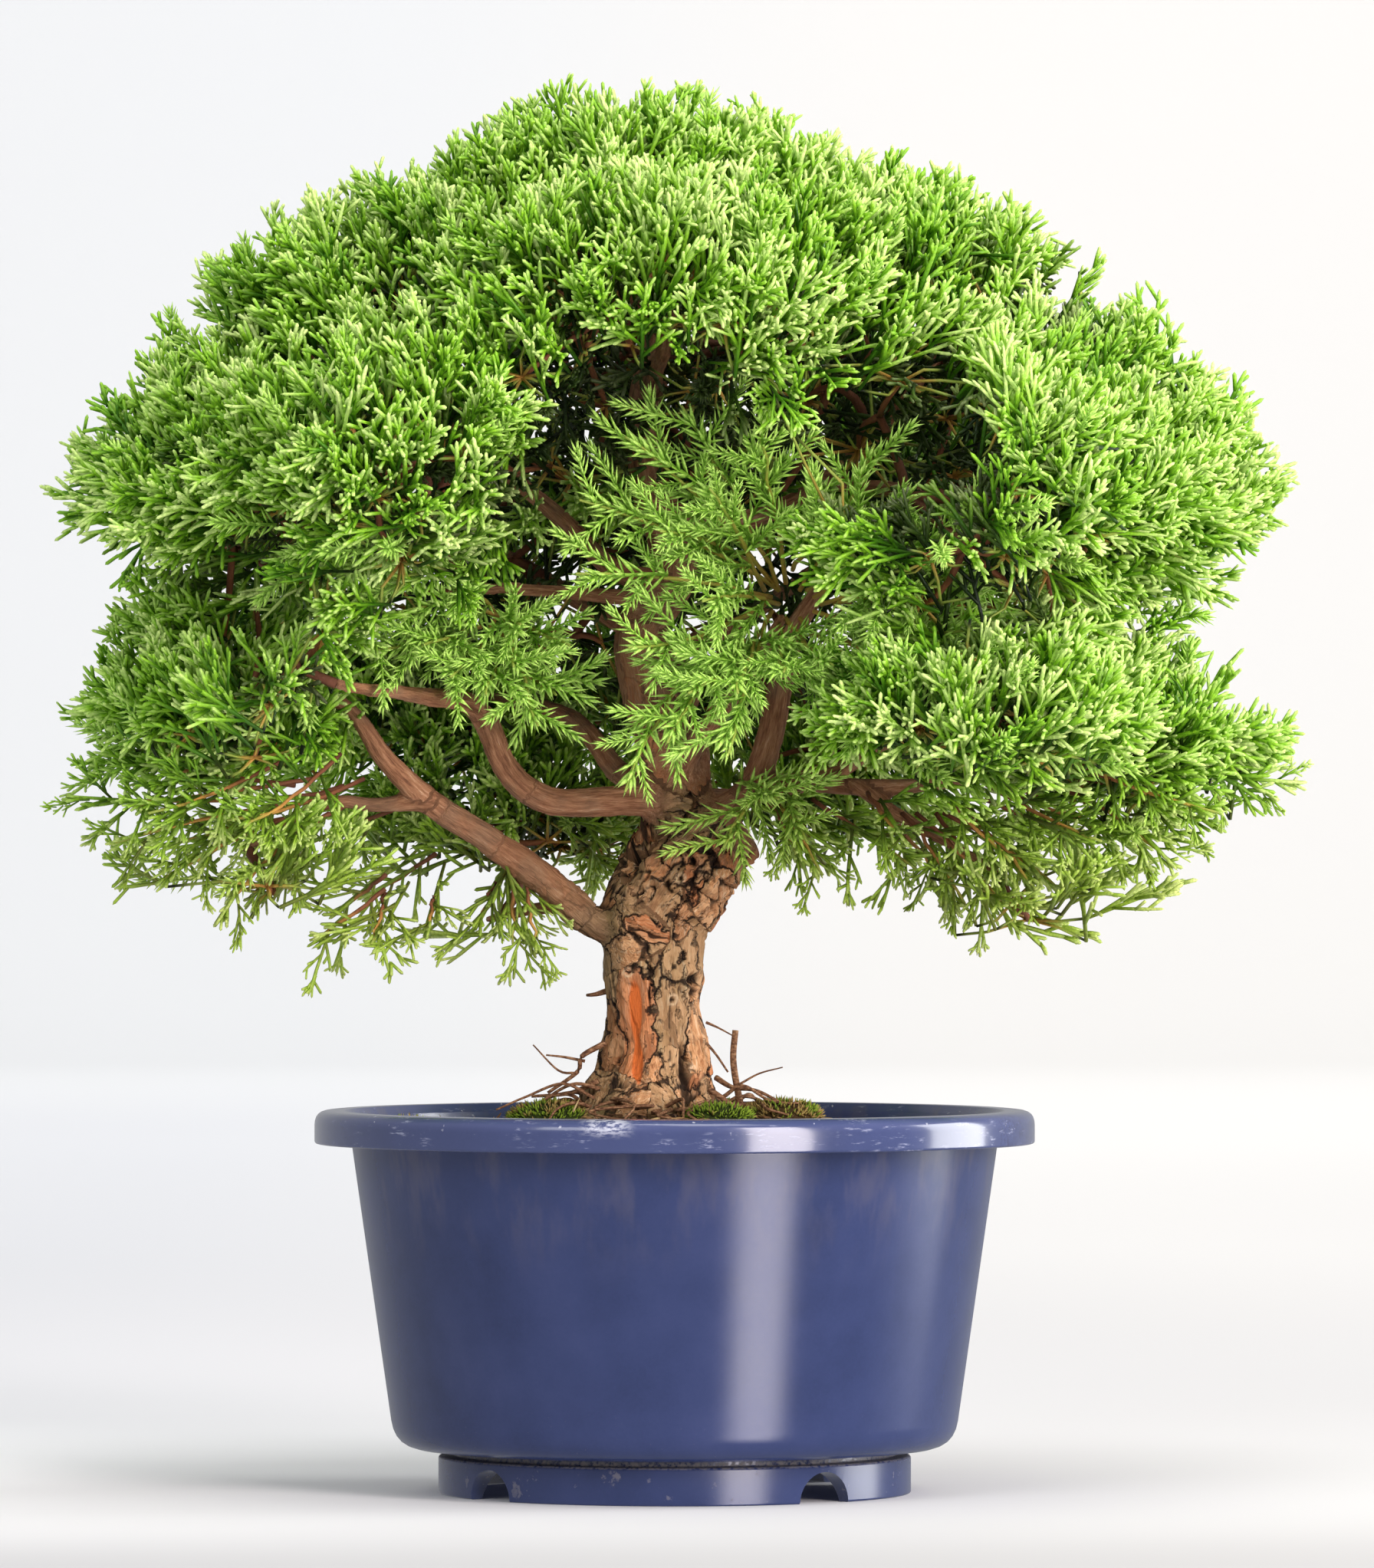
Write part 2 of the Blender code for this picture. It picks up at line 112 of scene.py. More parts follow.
def drawn(name, path, radii=(), resolution=3):
    """A curve through points in mm made a mesh, in edit mode: a line, or a tube where radii are given."""
    curve = bpy.data.curves.new(name, "CURVE")
    curve.dimensions = "3D"
    spline = curve.splines.new("POLY")
    spline.points.add(len(path) - 1)
    for point, (x, y, z) in zip(spline.points, path):
        point.co = (x * MM, y * MM, z * MM, 1.0)
    if len(radii):
        curve.bevel_depth, curve.bevel_resolution, curve.use_fill_caps = MM, resolution, True
        for point, radius in zip(spline.points, radii):
            point.radius = radius
    body = bpy.data.objects.new(name, curve)
    bpy.context.scene.collection.objects.link(body)
    only(body)
    bpy.ops.object.convert(target="MESH")
    bpy.ops.object.mode_set(mode="EDIT")
    bpy.ops.mesh.select_all(action="SELECT")
    return body


def sealed(body):
    """Merges doubled points, turns the faces outwards and leaves edit mode."""
    bpy.ops.mesh.select_all(action="SELECT")
    bpy.ops.mesh.remove_doubles(threshold=0.00001)
    bpy.ops.mesh.normals_make_consistent(inside=False)
    bpy.ops.object.mode_set(mode="OBJECT")
    return body


def count(obj):
    obj.data.calc_loop_triangles()
    return len(obj.data.loop_triangles)


# %% [markdown]
# Thousands of leaves are too many for operators, so their meshes are written from arrays of points and
# triangles. Each point can carry numbers of its own, such as how near it is to the tip of a leaf, and the
# finishes read those numbers to colour it.

# %% A mesh from arrays


def move_points(mesh, points):
    mesh.vertices.foreach_set("co", (points * MM).astype(np.float32).ravel())
    mesh.update()


def carry(mesh, numbers):
    """Gives a mesh one number at each point for each name."""
    for key, values in numbers.items():
        attribute = mesh.attributes.new(key, "FLOAT", "POINT")
        attribute.data.foreach_set("value", values.astype(np.float32))


def mesh_object(name, points, triangles, numbers):
    """An object from points in mm, triangles, and a dictionary of one number for each point."""
    mesh = bpy.data.meshes.new(name)
    mesh.vertices.add(len(points))
    mesh.vertices.foreach_set("co", (points * MM).astype(np.float32).ravel())
    mesh.loops.add(triangles.size)
    mesh.loops.foreach_set("vertex_index", triangles.astype(np.int32).ravel())
    mesh.polygons.add(len(triangles))
    mesh.polygons.foreach_set("loop_start", np.arange(0, triangles.size, 3, dtype=np.int32))
    mesh.update(calc_edges=True)
    carry(mesh, numbers)
    mesh.shade_smooth()
    obj = bpy.data.objects.new(name, mesh)
    bpy.context.scene.collection.objects.link(obj)
    return obj


def read_mesh(obj):
    """The points (mm) and triangles of an object, as arrays."""
    mesh = obj.data
    points = np.zeros(len(mesh.vertices) * 3)
    mesh.vertices.foreach_get("co", points)
    mesh.calc_loop_triangles()
    triangles = np.zeros(len(mesh.loop_triangles) * 3, dtype=np.int32)
    mesh.loop_triangles.foreach_get("vertices", triangles)
    return points.reshape(-1, 3) / MM, triangles.reshape(-1, 3)


def tree_of(places):
    """A search tree that finds the nearest of the places."""
    tree = kdtree.KDTree(len(places))
    for index, place in enumerate(places):
        tree.insert(place, index)
    tree.balance()
    return tree


def unit(vectors):
    return vectors / np.maximum(np.linalg.norm(vectors, axis=-1, keepdims=True), 1e-9)


def smooth(low, high, values):
    """0 below low, 1 above high, and a soft slope between."""
    share = np.clip((values - low) / (high - low), 0.0, 1.0)
    return share * share * (3.0 - 2.0 * share)


# %% [markdown]
# The finishes are node materials, but long chains of nodes are hard to read. Here a small class wraps a
# socket, so that ordinary arithmetic on it adds the Math nodes, and every other node comes from one
# method. Colours are given as a paint chart would, in 0 to 255, and turned to linear light.

# %% Shader maths as Python expressions


def paint(red, green, blue):
    """A linear colour from 0-255 values as seen on a screen."""
    linear = []
    for value in (red / 255, green / 255, blue / 255):
        linear.append(value / 12.92 if value <= 0.04045 else ((value + 0.055) / 1.055) ** 2.4)
    return (*linear, 1.0)


class Wire:
    """A node's output. Arithmetic on it adds Math nodes."""

    def __init__(self, finish, socket):
        self.finish = finish
        self.socket = socket

    def math(self, operation, first, second=0.0):
        return self.finish.node("Math", {"operation": operation}, {0: first, 1: second})

    def __add__(self, other):
        return self.math("ADD", self, other)

    def __sub__(self, other):
        return self.math("SUBTRACT", self, other)

    def __rsub__(self, other):
        return self.math("SUBTRACT", other, self)

    def __mul__(self, other):
        return self.math("MULTIPLY", self, other)

    def __pow__(self, other):
        return self.math("POWER", self, other)

    def absolute(self):
        return self.math("ABSOLUTE", self)

    def between(self, low, high):
        """0 at low, 1 at high, soft and clamped."""
        return self.finish.node(
            "MapRange",
            {"interpolation_type": "SMOOTHSTEP"},
            {"Value": self, "From Min": low, "From Max": high},
        )

    __radd__ = __add__
    __rmul__ = __mul__


class Finish:
    """A Principled material built from wires."""

    def __init__(self, name, **constants):
        self.material = bpy.data.materials.new(name)
        self.material.use_nodes = True
        self.tree = self.material.node_tree
        self.shader = self.tree.nodes["Principled BSDF"]
        for key, value in constants.items():
            self.shader.inputs[key.replace("_", " ")].default_value = value

    def put(self, socket, value):
        if isinstance(value, Wire):
            self.tree.links.new(value.socket, socket)
        else:
            socket.default_value = value

    def node(self, kind, settings=None, inputs=None, output=0):
        made = self.tree.nodes.new("ShaderNode" + kind)
        for key, value in (settings or {}).items():
            if key == "stops":
                ramp = made.color_ramp.elements
                while len(ramp) < len(value):
                    ramp.new(0.5)
                for stop, (place, colour) in zip(ramp, value):
                    stop.position = place
                    stop.color = colour
            else:
                setattr(made, key, value)
        for key, value in (inputs or {}).items():
            self.put(made.inputs[key], value)
        return Wire(self, made.outputs[output])

    def number(self, name):
        """A number that the mesh carries at each point."""
        return self.node("Attribute", {"attribute_name": name}, output="Fac")

    def places(self, scale=(1.0, 1.0, 1.0)):
        """Object coordinates in mm, stretched by scale."""
        here = self.node("TexCoord", output="Object")
        size = tuple(value / MM for value in scale)
        return self.node("Mapping", {}, {"Vector": here, "Scale": size})

    def axis(self, vector, which):
        return self.node("SeparateXYZ", {}, {"Vector": vector}, output="XYZ".index(which))

    def noise(self, vector, scale, detail=3.0, roughness=0.55):
        values = {"Vector": vector, "Scale": scale, "Detail": detail, "Roughness": roughness}
        return self.node("TexNoise", {}, values, output="Fac")

    def cells(self, vector, scale, feature="F1"):
        return self.node("TexVoronoi", {"feature": feature}, {"Vector": vector, "Scale": scale})

    def mix(self, share, low, high, blend="MIX"):
        """A colour between low and high."""
        settings = {"data_type": "RGBA", "blend_type": blend, "clamp_factor": True}
        return self.node("Mix", settings, {0: share, 6: low, 7: high}, output=2)

    def over(self, colour, *coats):
        """Lays coats over a colour, each a share and its red, green and blue."""
        for share, *tint in coats:
            colour = self.mix(share, colour, paint(*tint))
        return colour

    def ramp(self, share, *stops):
        """A colour from stops, each a place and its red, green and blue."""
        stops = [(place, paint(*tint)) for place, *tint in stops]
        return self.node("ValToRGB", {"stops": stops}, {"Fac": share})

    def bump(self, height, strength, distance):
        values = {"Height": height, "Strength": strength, "Distance": distance * MM}
        return self.node("Bump", {}, values)

    def wear(self, **sockets):
        for key, value in sockets.items():
            self.put(self.shader.inputs[key.replace("_", " ")], value)
        return self.material


# %% [markdown]
# ## The pot
# A training pot is moulded in one piece of thin plastic: a tapered wall, a flat rim that stands out and
# turns down, and a ring underneath with four half-round arches so that water runs away. It could be
# lofted from circles, but a pot is round, so its outline is drawn once, from the axis over the inside, the
# rim, the outside and back to the axis, and spun round. Every edge of the outline is a small arc, because
# no moulded edge is sharp and the light catches it.

# %% Outline of the pot, mm
RIM_RADIUS = 105.0
POT_HEIGHT = 111.4
MOUTH = 96.3
BODY_TOP_Z = 101.8
BODY_TOP = 94.3
BODY_FOOT = 81.5
WALL = 2.6
FOOT_RADIUS = 68.9
FOOT_HEIGHT = 11.0
NECK_RADIUS = 64.4
UNDERSIDE = 13.0
FLOOR_TOP = 16.0
SOIL_TOP = 110.6


def rounded(points, default=0.5, steps=5):
    """An outline of (r, z, rounding) with each corner turned into an arc of that rounding."""
    outline = []
    for index, (r, z, rounding) in enumerate(points):
        corner = Vector((r, z))
        if index in (0, len(points) - 1) or rounding == 0:
            outline.append((r, z))
            continue
        back = Vector(points[index - 1][:2]) - corner
        ahead = Vector(points[index + 1][:2]) - corner
        half = back.angle(ahead) / 2
        reach = min((rounding or default) / math.tan(half), back.length * 0.48, ahead.length * 0.48)
        start = corner + back.normalized() * reach
        end = corner + ahead.normalized() * reach
        for step in range(steps + 1):
            share = step / steps
            point = start.lerp(corner, share).lerp(corner.lerp(end, share), share)
            outline.append((point.x, point.y))
    return outline


INNER_TOP = BODY_TOP - WALL
INNER_FOOT = BODY_FOOT - WALL
pot_outline = rounded((
    (0.0, FLOOR_TOP, 0),
    (INNER_FOOT, FLOOR_TOP, 17.0),
    (INNER_TOP, BODY_TOP_Z, 2.0),
    (MOUTH - 1.7, POT_HEIGHT - 2.4, 1.2),
    (MOUTH, POT_HEIGHT, 0.7),
    (RIM_RADIUS, POT_HEIGHT, 4.4),
    (RIM_RADIUS, BODY_TOP_Z, 0.9),
    (RIM_RADIUS - 3.0, BODY_TOP_Z, 0.7),
    (RIM_RADIUS - 3.2, BODY_TOP_Z + 3.0, 0.8),
    (BODY_TOP + 0.3, BODY_TOP_Z + 3.0, 0.9),
    (BODY_FOOT, UNDERSIDE, 19.0),
    (NECK_RADIUS, UNDERSIDE, 0.6),
    (NECK_RADIUS, FOOT_HEIGHT, 0.5),
    (FOOT_RADIUS, FOOT_HEIGHT, 1.1),
    (FOOT_RADIUS, 0.0, 0.7),
    (FOOT_RADIUS - 4.0, 0.0, 0.7),
    (NECK_RADIUS - 4.0, UNDERSIDE, 1.5),
    (0.0, UNDERSIDE, 0),
), steps=6)
print("pot outline points:", len(pot_outline))

# %% Spin the outline and cut the arches and the drain holes


ARCHES, ARCH_TURN, ARCH_RADIUS = 4, 39.0, 9.0
DRAINS, DRAIN_CIRCLE, DRAIN_RADIUS = 6, 32.0, 6.0


def spun(name, outline, steps):
    """A closed body turned from an outline of (r, z) in mm."""
    body = drawn(name, [(r, 0.0, z) for r, z in outline])
    bpy.ops.mesh.spin(steps=steps, angle=math.tau, center=(0, 0, 0), axis=(0, 0, 1))
    return sealed(body)


def drill(obj, turn, out, z, radius, depth, sides, rotation=(0.0, 0.0, 0.0)):
    """Cuts a round hole at an angle round the axis and a distance out from it."""
    nothing_selected()
    bpy.ops.mesh.primitive_cylinder_add(
        vertices=sides, radius=radius * MM, depth=depth * MM, rotation=rotation,
        location=(out * math.cos(turn) * MM, out * math.sin(turn) * MM, z * MM),
    )
    cutter = bpy.context.object
    modify(obj, "BOOLEAN", operation="DIFFERENCE", solver="EXACT", object=cutter)
    bpy.data.objects.remove(cutter)


pot = spun("training_pot", pot_outline, 144)
for index in range(ARCHES):
    turn = math.radians(ARCH_TURN + 90.0 * index)
    lying = (math.pi / 2, 0.0, turn + math.pi / 2)
    drill(pot, turn, FOOT_RADIUS, 0.0, ARCH_RADIUS, 16.0, 40, lying)
for index in range(DRAINS):
    drill(pot, math.tau * index / DRAINS, DRAIN_CIRCLE, 14.5, DRAIN_RADIUS, 9.0, 24)
only(pot)
bpy.ops.object.shade_smooth_by_angle(angle=math.radians(32.0))
print("pot triangles:", count(pot))

# %% [markdown]
# The plastic is a deep blue, satin rather than glossy, so it shows a soft bar of the lamp. The rim is
# paler, partly from years outside and partly as painted light from above, most on its top. Years outside also
# leave chalky marks where hard water dried, fine scuffs that run up and down on the rim, and dust on the foot
# ring and in the crook above it. All of these sit on the surface, so they change the colour and the roughness
# together.

# %% Pot plastic
plastic = Finish("aged_blue_plastic", IOR=1.48, Coat_Roughness=0.1)
here = plastic.places()
height = plastic.axis(here, "Z")
side = plastic.axis(here, "X")
depth = plastic.axis(here, "Y")
broad = plastic.noise(here, 0.035, 3.0)
fine = plastic.noise(here, 0.9, 4.0, 0.6)
speckle = plastic.noise(here, 2.6, 2.0)
radius = (side * side + depth * depth) ** 0.5

rim = height.between(101.0, 102.5)
rim_top = height.between(107.0, 110.6)
scuff_lines = plastic.noise(plastic.places((0.2, 0.2, 1.0)), 0.8, 4.0, 0.7)
scuffs = scuff_lines.between(0.55, 0.70) * plastic.noise(here, 0.07, 2.0).between(0.42, 0.58) * rim
right_end = (side - 100.0).absolute().between(9.0, 3.0) * rim
scribble = plastic.noise(plastic.places((1.0, 1.0, 0.5)), 1.1, 5.0, 0.7).between(0.52, 0.6) * right_end
front = (0.0 - depth).between(40.0, 80.0)
lime_spot = (side + 19.0).absolute().between(9.0, 2.0) * front * height.between(105.5, 109.5)
lime = lime_spot * plastic.noise(plastic.places((0.5, 1.0, 1.6)), 0.55, 4.0, 0.7).between(0.42, 0.6)
drops = plastic.noise(here, 0.45, 2.0, 0.4).between(0.72, 0.76) * height.between(106.0, 110.0)

ledge = height.between(10.2, 10.9) * (1.0 - height.between(11.5, 13.2))
ring_marks = height.between(0.5, 2.0) * (1.0 - height.between(9.5, 10.5))
ring_marks = ring_marks * plastic.noise(here, 0.16, 4.0, 0.7).between(0.60, 0.70)
dust = ledge * fine.between(0.35, 0.6) + ring_marks * 0.45
grit = speckle.between(0.74, 0.78) * (1.0 - height.between(20.0, 34.0))
inside = (1.0 - radius.between(95.5, 96.5)) * height.between(60.0, 100.0)
stain = inside * plastic.noise(plastic.places((1.0, 1.0, 0.3)), 0.12, 3.0).between(0.45, 0.7)

colour = plastic.ramp(
    broad * 0.8 + fine * 0.2,
    (0.30, 38, 49, 87),
    (0.52, 46, 57, 98),
    (0.75, 54, 64, 106),
)
colour = plastic.over(
    colour,
    # painted light from above and wear: the rim paler, most on its top
    (rim * 0.18 + rim_top * 0.30, 92, 100, 146),
    (scuffs * 0.55, 165, 170, 196),
    (scribble * 0.75, 36, 38, 74),
    (stain * 0.35, 96, 92, 104),
    (lime * 0.85 + drops * 0.6, 205, 208, 222),
    (dust * 0.75, 150, 144, 140),
    (grit * 0.5, 150, 140, 125),
)
worn = scuffs * 0.12 + lime * 0.25 + dust * 0.3 - rim * 0.05
rough = 0.18 + fine * 0.07 + broad * 0.06 + worn
relief = fine * 0.5 + scuff_lines * 0.5 * rim + speckle * 0.2
pot_plastic = plastic.wear(
    Base_Color=colour,
    Roughness=rough,
    Coat_Weight=rim * 0.6,
    Normal=plastic.bump(relief, 0.12, 0.12),
)
pot.data.materials.append(pot_plastic)
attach(pot, "root")
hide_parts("pot")

# %% [markdown]
# ## The wood
# The trunk, its roots and all its limbs are one grown piece. Each route below is a run of x, y, z and
# radius in mm, measured from where the trunk's axis meets the soil, the same as in the frame. A branch
# bends smoothly between the points that say where it goes, so the routes are read with a spline that
# passes through every point, and a slight wander keeps them from looking drawn with a ruler.

# %% Routes of the trunk, roots and limbs
ORIGIN = np.array((-6.0, 0.0, SOIL_TOP))
TRUNK = (
    (1, 0, -22, 11), (0, 0, -12, 17), (-1, 0, 2, 20.5), (0, 0, 11, 16.5), (0.5, 0, 22, 14.5),
    (-0.3, 0, 36, 14), (-0.3, 0, 50, 15), (1.5, 0, 60, 16.5), (8.5, 0, 71, 17), (11, 0, 80, 15),
    (7, -1, 90, 11), (4.7, -1, 107, 10), (-2.2, 0, 125, 8), (-3.8, 2, 141, 7.5), (6, 3, 160, 7),
    (-2, 3, 187, 5.5), (-2, 4, 214, 4.5), (4, 2, 239, 3), (2, 0, 256, 2),
)
ROOTS = (
    ((-4, -4, -3, 12), (-20, -14, -7, 7.5), (-36, -22, -15, 4.5), (-50, -30, -28, 2.5)),
    ((6, -6, -3, 11), (16, -18, -7, 7.5), (26, -34, -15, 4.5), (34, -46, -28, 2.5)),
    ((8, 4, -3, 11), (24, 8, -7, 7), (40, 14, -15, 4.5), (56, 18, -28, 2.5)),
    ((0, 8, -3, 11), (2, 24, -8, 7), (4, 40, -17, 4.5), (8, 54, -30, 2.5)),
    ((-8, 4, -3, 11), (-24, 12, -8, 6.5), (-38, 22, -17, 4), (-50, 30, -30, 2.5)),
)
SNAGS = (
    ((12, 0, 68, 11), (20, -1, 76, 8.5), (27.5, -2, 81, 6)),
    ((-8, 4, 55, 3), (-26, 8, 60, 2.4), (-38, 10, 59, 2), (-50, 12, 56, 1.4)),
)
LIMBS = (
    ((-3, -2, 52, 6), (-17, -4, 56, 5.2), (-31, -8, 68, 4.8), (-44.5, -12, 77.5, 4.5),
     (-63, -18, 89, 4), (-76.5, -22, 103, 3.2), (-87, -26, 116, 2.6), (-106, -28, 126, 1.8)),
    ((-66, -19, 91, 3), (-81, -18, 89, 2.5), (-95, -18, 90, 2.2), (-118, -22, 78, 1.6)),
    ((4, -3, 91, 5.5), (-8, -8, 91, 4.5), (-26, -14, 90, 4.4), (-38, -18, 94, 4.2),
     (-44.5, -20, 102, 4), (-50, -24, 114, 3.8), (-56, -34, 120, 3.2), (-72, -52, 122, 2.5),
     (-90, -80, 124, 1.8)),
    ((2, 2, 96, 5), (-9, 8, 99, 3.8), (-19, 18, 110, 3.3), (-30, 34, 118, 2.8), (-50, 62, 122, 2.2),
     (-70, 86, 124, 1.7)),
    ((-1, -1, 150, 3), (-22, -10, 152, 2.2), (-40, -16, 152.5, 2), (-52, -24, 154, 2),
     (-60, -40, 166, 1.8), (-66, -72, 182, 1.4)),
    ((3, 3, 154, 4), (-10, 2, 158, 3.3), (-25, 2, 171, 3), (-36, 0, 181, 2.8), (-58, 0, 200, 2.3),
     (-80, 0, 220, 1.7)),
    ((-50, 0, 193, 2.4), (-80, -4, 186, 2.1), (-112, -6, 180, 1.6)),
    ((8, 0, 82, 6), (22, -2, 89, 4.6), (29, -4, 96, 4.3), (34, -6, 110, 4), (38, -8, 128, 3.6),
     (42, -12, 142, 3.2), (54, -26, 160, 2.5), (74, -66, 178, 1.7)),
    ((27, -4, 94, 3.8), (45, -6, 97, 3.1), (61, -8, 96, 2.8), (82, -10, 96, 2.4), (118, -10, 104, 1.7)),
    ((58, -8, 96, 2.4), (78, -14, 82, 2), (100, -20, 70, 1.5)),
    ((2, 2, 176, 4), (20, 2, 172, 3.3), (40, 0, 178, 3), (58, 2, 192, 2.6), (78, 2, 212, 2),
     (88, 2, 224, 1.6)),
    ((48, 0, 184, 2.6), (78, 6, 182, 2.2), (112, 10, 182, 1.6)),
    ((4, 2, 112, 4.5), (10, 24, 122, 3.6), (8, 54, 130, 3), (4, 84, 132, 2.3), (4, 112, 132, 1.6)),
    ((0, 3, 132, 4), (22, 28, 142, 3), (46, 54, 158, 2.3), (66, 78, 170, 1.7)),
    ((-2, 3, 140, 4), (-22, 30, 150, 3), (-42, 58, 162, 2.3), (-62, 80, 172, 1.7)),
    ((6, 4, 92, 4.5), (24, 26, 92, 3.4), (50, 54, 100, 2.6), (76, 80, 110, 1.7)),
    ((2, 6, 152, 3.4), (4, 40, 166, 2.4), (2, 84, 172, 1.9), (2, 112, 170, 1.5)),
    ((6, -3, 98, 4), (14, -18, 110, 3), (26, -36, 126, 2.4), (38, -50, 144, 1.8)),
    ((28, -6, 92, 3), (52, -34, 100, 2.3), (80, -72, 114, 1.6)),
    ((0, 0, 212, 3.4), (2, -22, 220, 2.6), (4, -52, 226, 2), (4, -76, 230, 1.5)),
    ((0, 2, 210, 3.4), (0, 30, 218, 2.6), (0, 58, 226, 2), (0, 80, 230, 1.5)),
)


def through(route, step, wander=0.0, seed=0):
    """Points (x, y, z, radius) about a step apart on a smooth curve through the route's points."""
    points = np.array(route, dtype=float)
    points = np.vstack((2 * points[0] - points[1], points, 2 * points[-1] - points[-2]))
    found = []
    for a, b, c, d in zip(points, points[1:], points[2:], points[3:]):
        parts = max(1, int(round(np.linalg.norm(c[:3] - b[:3]) / step)))
        for share in np.arange(parts) / parts:
            found.append(0.5 * (
                2 * b + (c - a) * share + (2 * a - 5 * b + 4 * c - d) * share**2
                + (3 * b - a - 3 * c + d) * share**3
            ))
    found = np.array(found + [points[-2]])
    found[:, 3] = np.maximum(found[:, 3], points[:, 3].min())
    for index, point in enumerate(found):
        place = Vector(point[:3]) * 0.035
        for axis in range(3):
            found[index, axis] += noise.noise(place + Vector((seed, 31.0 * axis, 0))) * wander
    return found


WOOD = [through(TRUNK, 2.0)]
WOOD += [through(route, 2.5, 1.0, 7 * index) for index, route in enumerate(ROOTS + SNAGS)]
WOOD += [through(route, 2.5, 1.8, 40 + 7 * index) for index, route in enumerate(LIMBS)]
print("routes:", len(WOOD), "points:", sum(len(route) for route in WOOD))

# %% [markdown]
# Each route becomes a round tube, and the tubes run into each other. On a living tree a branch doesn't
# plug into the trunk: the wood flows round it in a collar. Joining the tubes with a voxel remesh and then
# smoothing gives just that. The trunk is then divided once more, because its bark needs finer points.

# %% Grow the wood
VOXEL = 1.25

placed = [np.column_stack((route[:, :3] + ORIGIN, route[:, 3])) for route in WOOD]
tubes = [
    sealed(drawn("wood", route[:, :3], route[:, 3], 8 if index == 0 else 3))
    for index, route in enumerate(placed)
]
only(tubes[0])
for tube in tubes[1:]:
    tube.select_set(True)
bpy.ops.object.join()
wood = bpy.context.object
wood.name = "trunk_bark_and_limbs"
modify(wood, "REMESH", mode="VOXEL", voxel_size=VOXEL * MM)
modify(wood, "SMOOTH", factor=0.5, iterations=3)
pick_faces(wood, lambda centre, normal: (
    108 * MM < centre.z < 203 * MM and math.hypot(centre.x + 4 * MM, centre.y) < 30 * MM
))
bpy.ops.mesh.subdivide(number_cuts=1)
bpy.ops.object.mode_set(mode="OBJECT")
modify(wood, "SMOOTH", factor=0.5, iterations=2)
print("wood triangles:", count(wood))

# %% [markdown]
# Old juniper bark splits into long upright plates with dark cracks between them, and the plates lift at
# their edges and show rust-orange bark where a strip came off. A bump map alone would leave the outline
# of the trunk smooth, so the plates are carved into the mesh. Every point looks up its nearest place on
# the routes, which gives it an angle round the wood and a length along it. Noise stretched along that
# unrolled space and cut into terraces makes the layers of plates, and the thin lines where another noise
# passes through zero make the splits.

# %% Where each point of the wood lies on its branch
ROUTE_GAP = 500.0
samples = np.vstack(placed)
runs = np.concatenate([
    np.concatenate(([0.0], np.cumsum(np.linalg.norm(np.diff(route[:, :3], axis=0), axis=1)))) + ROUTE_GAP * index
    for index, route in enumerate(placed)
])
aims = np.vstack([unit(np.gradient(route[:, :3], axis=0)) for route in placed])
tree = tree_of(samples[:, :3])
points, triangles = read_mesh(wood)
nearest = np.array([tree.find(point)[1] for point in points])
spoke = points - samples[nearest, :3]
along = runs[nearest] + (spoke * aims[nearest]).sum(1)
spoke -= aims[nearest] * (spoke * aims[nearest]).sum(1)[:, None]
thick = np.linalg.norm(spoke, axis=1)
spoke = unit(spoke)
upright = np.abs(aims[nearest][:, 2:]) > 0.55
first = unit(np.cross(aims[nearest], np.where(upright, (0.0, 1.0, 0.0), (0.0, 0.0, 1.0))))
second = np.cross(aims[nearest], first)
unrolled = np.column_stack((
    (spoke * first).sum(1) * thick, (spoke * second).sum(1) * thick, along,
))
print("points of wood:", len(points))

# %% Carve the bark


def wobble(places, scale, seed):
    """Soft noise from -1 to 1 at each place."""
    shift = Vector((seed, -seed, seed * 0.5))
    return np.array([noise.noise(Vector(place) + shift) for place in places * scale])


def terraced(values, levels, sharpness):
    """Values from 0 to 1 turned into steps, and how near each is to a step's edge."""
    share = values * levels
    level = np.floor(share)
    share = share - level
    rise = smooth(0.5 - sharpness, 0.5 + sharpness, share)
    return (level + rise) / levels, np.clip(1.0 - np.abs(share - 0.5) / (sharpness * 1.5), 0, 1)


def flat_noise(stretch, scale, seed):
    return np.clip(wobble(unrolled * (1, 1, stretch), scale, seed) * 0.75 + 0.5, 0.0, 1.0)


old = smooth(5.5, 10.5, thick)
foot_zone = smooth(SOIL_TOP + 95, SOIL_TOP + 60, points[:, 2]) * smooth(3.0, 7.0, thick)
old = np.maximum(old, foot_zone)
ragged = wobble(unrolled * (1, 1, 0.5), 0.5, 8)
broad_layer, broad_edge = terraced(flat_noise(0.28, 0.10, 3) + 0.05 * ragged, 5, 0.10)
small_layer, small_edge = terraced(flat_noise(0.34, 0.21, 21) + 0.04 * ragged, 4, 0.12)
split = np.abs(wobble(unrolled * (1, 1, 0.15), 0.15, 37) + 0.10 * ragged)
split = 1.0 - smooth(0.015, 0.075, split)
split *= smooth(-0.12, 0.16, wobble(unrolled * (1, 1, 0.4), 0.06, 55))
check_lines = 1.0 - smooth(0.01, 0.06, np.abs(wobble(unrolled * (1, 1, 0.12), 0.34, 71) + 0.05 * ragged))
check_lines *= smooth(0.0, 0.2, wobble(unrolled, 0.08, 91))
grain = wobble(unrolled * (1, 1, 0.14), 0.55, 5)
fine_grain = wobble(unrolled * (1, 1, 0.25), 1.5, 9)
lumps = wobble(points, 0.06, 13)
knobby = smooth(SOIL_TOP + 54, SOIL_TOP + 66, points[:, 2]) * smooth(SOIL_TOP + 92, SOIL_TOP + 80, points[:, 2])
carved = old * (
    2.6 * (broad_layer - 0.5) + 1.3 * (small_layer - 0.5) - 1.7 * split - 0.7 * check_lines
    + 1.6 * lumps + 0.30 * grain + 0.16 * fine_grain
)
